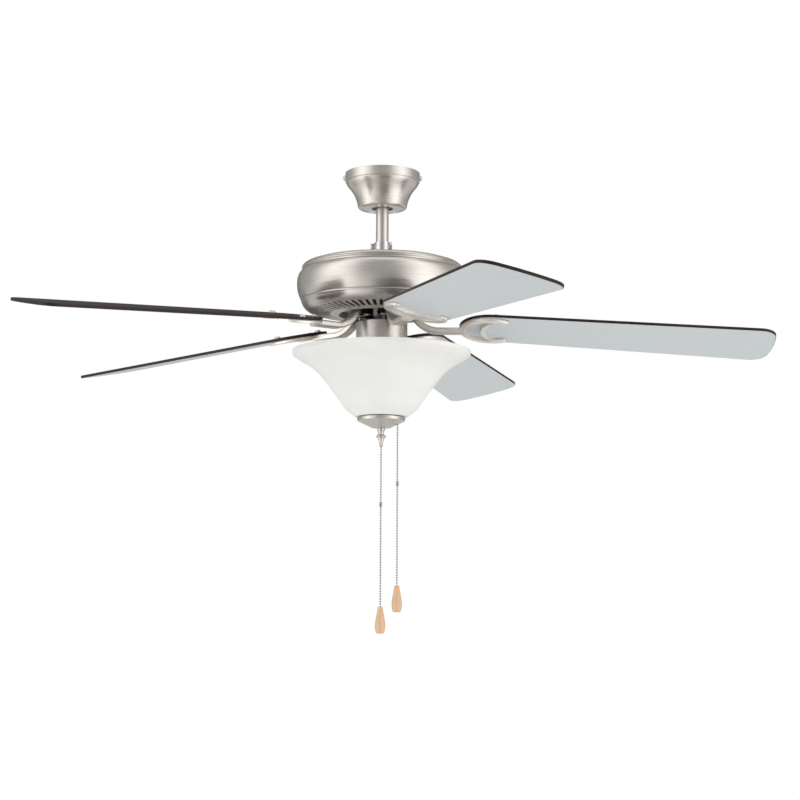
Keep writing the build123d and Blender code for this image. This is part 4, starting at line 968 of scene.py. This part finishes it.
class FAN_OT_motor(FanPiece, bpy.types.Operator):
    """Motor inside the housing: rotor, stator, windings, bearings, shaft and wires"""

    bl_idname = "ceiling_fan.motor"
    bl_label = "Motor"

    def build(self, sizes, looks):
        for node in ("rotor_upper_bell", "rotor_lower_bell"):
            dress_copy(f"{node}_painted", node, looks["steel"])
        coat(looks["steel"], "rotor_cage", "stator_core")
        coat(looks["copper"], "windings")
        coat(looks["bright"], "bearings", "motor_shaft")
        coat(looks["black"], "lead_wires")


class FAN_OT_arms(FanPiece, bpy.types.Operator):
    """Blade arms and the screws that hold them to the rotor"""

    bl_idname = "ceiling_fan.arms"
    bl_label = "Blade arms"

    def build(self, sizes, looks):
        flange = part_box("arm_screws")[0][2] + SCREW_SIZES["arm_screws"][1] * MM
        places = []
        for number in range(sizes.blade_count):
            node = f"blade_arm_{number + 1}"
            dress_copy(f"{node}_plated", node, looks["cast"])
            step = Matrix.Rotation(2 * math.pi * number / sizes.blade_count, 3, "Z")
            for side in (-1, 1):
                spot = Vector((sizes.arm_screw_circle, side * sizes.arm_screw_offset, flange))
                places.append((step @ spot, (0.0, 0.0, -1.0)))
        screws("arm_screws", places, looks["bright"])


class FAN_OT_blades(FanPiece, bpy.types.Operator):
    """Blades, silver below and dark wood above, and their screws"""

    bl_idname = "ceiling_fan.blades"
    bl_label = "Blades"

    def outline(self, sizes):
        """Outline of the blade on its own plane, from the root round the tip and back."""
        stretch = math.cos(sizes.blade_droop)
        root = sizes.blade_root_width / 2
        shoulder = root / stretch
        tip = (sizes.blade_tip_radius - sizes.blade_root_radius) / stretch
        half = sizes.blade_tip_width / 2
        edge = tip - sizes.blade_tip_sag / stretch
        bow = (half**2 + (tip - edge) ** 2) / (2 * (tip - edge))
        corner_x = edge + CORNER_LEAD * sizes.blade_tip_sag
        side = [(shoulder / MM, root / MM, 0.0), (corner_x / MM, half / MM, sizes.blade_tip_corner / MM)]
        reach = half - CORNER_REACH * sizes.blade_tip_corner
        for step in range(TIP_STEPS + 1):
            across = reach * (1 - step / TIP_STEPS)
            ahead = tip - bow + math.sqrt(bow**2 - across**2)
            side.append((ahead / MM, across / MM, 0.0 if step == TIP_STEPS else TIP_BLEND))
        upper = rounded(side)
        around = []
        for step in range(1, ROOT_STEPS):
            angle = math.pi * step / ROOT_STEPS
            around.append(Vector((shoulder - shoulder * math.sin(angle), -root * math.cos(angle))))
        lower = [Vector((point.x, -point.y)) for point in reversed(upper[:-1])]
        return upper + lower + around

    def mesh(self, sizes, number):
        """Blade with rounded edges, its length and width as a flat map."""
        line = self.outline(sizes)
        count = len(line)
        inward = []
        for index, point in enumerate(line):
            along = (line[(index + 1) % count] - line[index - 1]).normalized()
            inward.append(Vector((along.y, -along.x)))
        edge = sizes.blade_edge
        rings = []
        for step in range(EDGE_STEPS + 1):
            angle = math.pi / 2 * step / EDGE_STEPS
            rings.append((edge * (1 - math.sin(angle)), edge * (1 - math.cos(angle))))
        rings += [(inset, sizes.blade_thickness - rise) for inset, rise in reversed(rings)]
        work = bmesh.new()
        loops = []
        for inset, rise in rings:
            loop = []
            for point, side in zip(line, inward):
                spot = point + side * inset
                loop.append(work.verts.new((spot.x, spot.y, rise)))
            loops.append(loop)
        for below, above in zip(loops, loops[1:]):
            for index in range(count):
                ahead = (index + 1) % count
                work.faces.new((below[index], below[ahead], above[ahead], above[index])).material_index = 1
        work.faces.new(loops[0])
        work.faces.new(loops[-1]).material_index = 1
        bmesh.ops.recalc_face_normals(work, faces=work.faces)
        grain = work.loops.layers.uv.new(BLADE_MAP)
        for face in work.faces:
            for corner in face.loops:
                spot = corner.vert.co
                corner[grain].uv = (spot.x + number, spot.y + spot.z)
        work.transform(blade_matrix(sizes, number))
        mesh = bpy.data.meshes.new("blade")
        work.to_mesh(mesh)
        work.free()
        tidy(mesh)
        for face in mesh.polygons:
            if len(face.vertices) == count:
                face.use_smooth = False
        return mesh

    def build(self, sizes, looks):
        places = []
        for number in range(sizes.blade_count):
            node = f"blade_{number + 1}"
            dress(f"paddle_{number + 1}", self.mesh(sizes, number), [looks["silver"], looks["brown"]], node)
            place = blade_matrix(sizes, number)
            stretch = math.cos(sizes.blade_droop)
            prong, aside = sizes.blade_screw_setback, sizes.blade_screw_offset
            for ahead, across in ((prong, -aside), (prong, aside), (sizes.blade_screw_inset, 0.0)):
                spot = place @ Vector((ahead / stretch, across, sizes.blade_thickness))
                places.append((spot, place.to_3x3() @ Vector((0.0, 0.0, 1.0))))
        screws("blade_screws", places, looks["bright"])


class FAN_OT_switch_housing(FanPiece, bpy.types.Operator):
    """Switch housing with its screws, lever and the switches inside"""

    bl_idname = "ceiling_fan.switch_housing"
    bl_label = "Switch housing"

    def build(self, sizes, looks):
        dress_copy("switch_cup", "switch_housing", looks["nickel"])
        dress_copy("lever", "reverse_lever", looks["black"])
        coat(looks["black"], "speed_switch", "light_switch", "capacitor", "reverse_switch")
        coat(looks["bright"], "lock_nuts")
        low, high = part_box("fitter_screws")
        middle = (low[2] + high[2]) / 2
        places = []
        for degrees in (90, 210, 330):
            angle = math.radians(degrees)
            way = Vector((math.cos(angle), math.sin(angle), 0.0))
            places.append((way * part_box("switch_housing")[1][0] + Vector((0.0, 0.0, middle)), way))
        screws("fitter_screws", places, looks["bright"])


class FAN_OT_light(FanPiece, bpy.types.Operator):
    """Light kit: fitter, sockets, lamps, tube, frosted bowl, washer, cap and finial"""

    bl_idname = "ceiling_fan.light"
    bl_label = "Bowl light"

    def build(self, sizes, looks):
        dress_copy("fitter", "light_fitter", looks["bright"])
        dress_copy("sockets", "lamp_sockets", looks["cream"])
        dress_copy("bulbs", "lamps", looks["frost"])
        dress_copy("tube", "centre_tube", looks["bright"])
        coat(looks["black"], "bowl_washer")
        dress_wall("bowl", BOWL_OUTLINE, sizes.bowl_wall, looks["frost"], "glass_bowl")
        dress_wall("cap", CAP_OUTLINE, sizes.sheet_wall, looks["nickel"], "bowl_cap")
        knob = turned(rounded(FINIAL_OUTLINE), columns=FINE_COLUMNS)
        dress("knob", knob, [looks["nickel"]], "finial")


class FAN_OT_chains(FanPiece, bpy.types.Operator):
    """Bead chains with their connectors and turned pendants"""

    bl_idname = "ceiling_fan.chains"
    bl_label = "Pull chains"

    def line(self, heights, across):
        """Mesh of a smooth line through heights at one distance from the axis."""
        curve = bpy.data.curves.new("chain line", "CURVE")
        curve.dimensions = "3D"
        spline = curve.splines.new("NURBS")
        spline.points.add(len(heights) - 1)
        for point, height in zip(spline.points, heights):
            point.co = (across, 0.0, height, 1.0)
        spline.order_u = 3
        spline.use_endpoint_u = True
        spline.resolution_u = 12
        line = placed("chain line", curve)
        carrier = bpy.data.meshes.new_from_object(line)
        bpy.data.objects.remove(line)
        return carrier

    def string(self, sizes, finish, name, node, heights, across):
        """Dresses a bead chain along a line; gives the piece and its path."""
        line = self.line(heights, across)
        path = [tuple(vertex.co) for vertex in line.vertices]
        beads = grown(
            line,
            bead_tree(),
            {
                "Bead diameter": sizes.bead_diameter,
                "Bead pitch": sizes.bead_pitch,
                "Wire diameter": sizes.bead_wire,
                "Finish": finish,
            },
        )
        return dress(name, beads, [finish], node), path

    def build(self, sizes, looks):
        metal = looks["chain"]
        clear = sizes.bead_diameter / 2
        for chain, across, outlet in (
            ("fan", 0.0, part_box("finial")[0][2]),
            ("light", sizes.light_chain_offset, LIGHT_OUTLET),
        ):
            upper_node, lower_node = f"{chain}_chain_upper", f"{chain}_chain_lower"
            upper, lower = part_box(upper_node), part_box(lower_node)
            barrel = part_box(f"{chain}_chain_connector")
            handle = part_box(f"{chain}_pendant")
            top, foot = upper[1][2], upper[0][2] - clear
            heights = (top - clear, (top + outlet) / 2, outlet)
            self.string(sizes, metal, f"{chain}_held_beads", upper_node, heights, across)
            heights = (outlet, (outlet + foot) / 2, foot)
            free, path = self.string(sizes, metal, f"{chain}_upper_beads", upper_node, heights, across)
            sleeve = turned(
                rounded(CONNECTOR_OUTLINE), columns=FINE_COLUMNS, across=across, lift=barrel[1][2]
            )
            link = dress(f"{chain}_link", sleeve, [metal], f"{chain}_chain_connector")
            start, end = lower[1][2] - clear, lower[0][2]
            heights = (start, (start + end) / 2, end)
            hung, path = self.string(sizes, metal, f"{chain}_lower_beads", lower_node, heights, across)
            grip = turned(
                rounded(PENDANT_OUTLINE), columns=FINE_COLUMNS, closed=False, across=across, lift=handle[1][2]
            )
            pull = dress(f"{chain}_pull_handle", grip, [looks["wood"]], f"{chain}_pendant")


class FAN_OT_stage(bpy.types.Operator):
    """Floor, reflection wall, world, softboxes and camera"""

    bl_idname = "ceiling_fan.stage"
    bl_label = "Stage"

    def world(self):
        """White for the eye, metal and glass, a plain level for soft light."""
        world = bpy.data.worlds.new("studio")
        bpy.context.scene.world = world
        world.use_nodes = True
        tree = world.node_tree
        tree.nodes.clear()
        ray = tree.nodes.new("ShaderNodeLightPath")
        seen = calc(
            tree, "MAXIMUM",
            calc(tree, "MAXIMUM", ray.outputs["Is Camera Ray"], ray.outputs["Is Glossy Ray"]),
            ray.outputs["Is Transmission Ray"],
        )
        soft = make(tree, "ShaderNodeBackground", Color=(1.0, 1.0, 1.0, 1.0), Strength=WORLD_LEVEL)
        white = make(tree, "ShaderNodeBackground", Color=(1.0, 1.0, 1.0, 1.0), Strength=1.0)
        mix = tree.nodes.new("ShaderNodeMixShader")
        tree.links.new(seen, mix.inputs[0])
        tree.links.new(soft.outputs[0], mix.inputs[1])
        tree.links.new(white.outputs[0], mix.inputs[2])
        end = tree.nodes.new("ShaderNodeOutputWorld")
        tree.links.new(mix.outputs[0], end.inputs[0])

    def floor(self):
        """Pale floor that fades out at its edge and isn't seen from below."""
        mesh = bpy.data.meshes.new("floor")
        work = bmesh.new()
        bmesh.ops.create_circle(work, cap_ends=True, segments=STAGE_COLUMNS, radius=FLOOR_RADIUS)
        bmesh.ops.translate(work, verts=work.verts, vec=(0.0, 0.0, FLOOR_HEIGHT))
        work.to_mesh(mesh)
        work.free()
        floor = placed("floor", mesh)
        material = bpy.data.materials.new("pale_floor")
        material.use_nodes = True
        tree = material.node_tree
        shader = tree.nodes["Principled BSDF"]
        shader.inputs["Base Color"].default_value = FLOOR_COLOUR
        shader.inputs["Roughness"].default_value = FLOOR_ROUGHNESS
        fade = spread(tree, axis_distance(tree), *FLOOR_FADE, 1.0, 0.0)
        side = tree.nodes.new("ShaderNodeNewGeometry")
        above = calc(tree, "SUBTRACT", 1.0, side.outputs["Backfacing"])
        tree.links.new(calc(tree, "MULTIPLY", fade, above), shader.inputs["Alpha"])
        mesh.materials.append(material)
        floor.visible_glossy = False

    def reflection_wall(self):
        """Round grey tent, open above, that only reflections see, so that the metal has dark sides."""
        outline = []
        for degrees in TENT_ANGLES:
            angle = math.radians(degrees)
            outline.append(
                Vector((TENT_RADIUS * math.cos(angle), TENT_RADIUS * math.sin(angle) + TENT_HEIGHT))
            )
        wall = placed("reflection_wall", turned(outline, columns=STAGE_COLUMNS, closed=False))
        wall.visible_camera = False
        wall.visible_diffuse = False
        wall.visible_transmission = False
        wall.visible_shadow = False
        material = bpy.data.materials.new("grey_wall")
        material.use_nodes = True
        tree = material.node_tree
        tree.nodes.clear()
        across, deep, up = object_parts(tree)
        depth = spread(tree, deep, *TENT_BACK, *TENT_LEVELS)
        low = spread(tree, up, *TENT_LOW, 1.0, 0.0)
        lift = calc(tree, "MULTIPLY", calc(tree, "SUBTRACT", TENT_LOW_LEVEL, depth), low)
        aside = spread(tree, calc(tree, "ABSOLUTE", across), *STRIP_ASIDE, 1.0, 0.0)
        front = spread(tree, deep, *STRIP_FRONT, 1.0, 0.0)
        under = spread(tree, up, *STRIP_UNDER, 1.0, 0.0)
        strip = calc(tree, "MULTIPLY", calc(tree, "MULTIPLY", aside, under), front)
        shaded = calc(tree, "SUBTRACT", 1.0, calc(tree, "MULTIPLY", strip, STRIP_SHADE))
        base = calc(tree, "MULTIPLY", calc(tree, "ADD", depth, lift), shaded)
        bearing = calc(tree, "ARCTAN2", across, calc(tree, "MULTIPLY", deep, -1.0))
        bearing = calc(tree, "ABSOLUTE", calc(tree, "ADD", bearing, math.radians(BAND_SHIFT)))
        away = calc(tree, "ABSOLUTE", calc(tree, "SUBTRACT", bearing, math.radians(BAND_CENTER)))
        band = spread(tree, away, 0.0, math.radians(BAND_HALF), BAND_GAIN, 0.0, way="SMOOTHSTEP")
        shine = calc(tree, "MULTIPLY", band, spread(tree, up, *BAND_RISE))
        level = calc(tree, "ADD", base, shine)
        glow = make(tree, "ShaderNodeEmission", Color=TENT_COLOUR, Strength=level)
        end = tree.nodes.new("ShaderNodeOutputMaterial")
        tree.links.new(glow.outputs[0], end.inputs[0])
        wall.data.materials.append(material)

    def softbox(self, degrees, watts):
        """Tall softbox at an angle from the camera's side, aimed at the fan."""
        light = bpy.data.lights.new("softbox", "AREA")
        light.shape = "RECTANGLE"
        light.size, light.size_y = SOFTBOX_SIZE
        light.energy = watts
        box = placed("softbox", light)
        angle = math.radians(degrees)
        box.location = (
            SOFTBOX_DISTANCE * math.sin(angle),
            -SOFTBOX_DISTANCE * math.cos(angle),
            SOFTBOX_HEIGHT,
        )
        aim = Vector((0.0, 0.0, AIM_HEIGHT)) - box.location
        box.rotation_euler = aim.to_track_quat("-Z", "Y").to_euler()
        box.visible_glossy = False

    def camera(self):
        """Camera at the photograph's place."""
        data = bpy.data.cameras.new("camera")
        data.sensor_width = SENSOR_WIDTH
        data.lens = CAMERA_LENS
        camera = placed("camera", data)
        camera.location = CAMERA_PLACE
        tilt = Matrix.Rotation(math.radians(CAMERA_TILT), 3, "X")
        roll = Matrix.Rotation(math.radians(CAMERA_ROLL), 3, "Z")
        camera.rotation_euler = (tilt @ roll).to_euler()
        bpy.context.scene.camera = camera

    def execute(self, context):
        context.scene.view_settings.view_transform = "Standard"
        self.world()
        self.floor()
        self.reflection_wall()
        for degrees, watts in SOFTBOXES:
            self.softbox(degrees, watts)
        self.camera()
        return {"FINISHED"}


class FAN_PT_panel(bpy.types.Panel):
    """Lists the fan's pieces in the sidebar"""

    bl_idname = "FAN_PT_panel"
    bl_label = "Ceiling fan"
    bl_space_type = "VIEW_3D"
    bl_region_type = "UI"
    bl_category = "Ceiling fan"

    def draw(self, context):
        for operator in OPERATORS:
            self.layout.operator(operator.bl_idname)


OPERATORS = (
    FAN_OT_stage,
    FAN_OT_chains,
    FAN_OT_canopy,
    FAN_OT_downrod,
    FAN_OT_housing,
    FAN_OT_motor,
    FAN_OT_arms,
    FAN_OT_blades,
    FAN_OT_switch_housing,
    FAN_OT_light,
)
CLASSES = (FanSizes, FanColours, *OPERATORS, FAN_PT_panel)


def register():
    """Registers the classes and the scene's settings."""
    for cls in CLASSES:
        bpy.utils.register_class(cls)
    bpy.types.Scene.fan_sizes = PointerProperty(type=FanSizes)
    bpy.types.Scene.fan_colours = PointerProperty(type=FanColours)


def unregister():
    """Takes the settings and the classes away again."""
    del bpy.types.Scene.fan_colours
    del bpy.types.Scene.fan_sizes
    for cls in reversed(CLASSES):
        bpy.utils.unregister_class(cls)


def main():
    """Builds the fan and removes the screw head that its screws were made from."""
    register()
    for operator in OPERATORS:
        group, name = operator.bl_idname.split(".")
        getattr(getattr(bpy.ops, group), name)()
    bpy.data.objects.remove(screw_head())


if __name__ == "__main__":
    main()
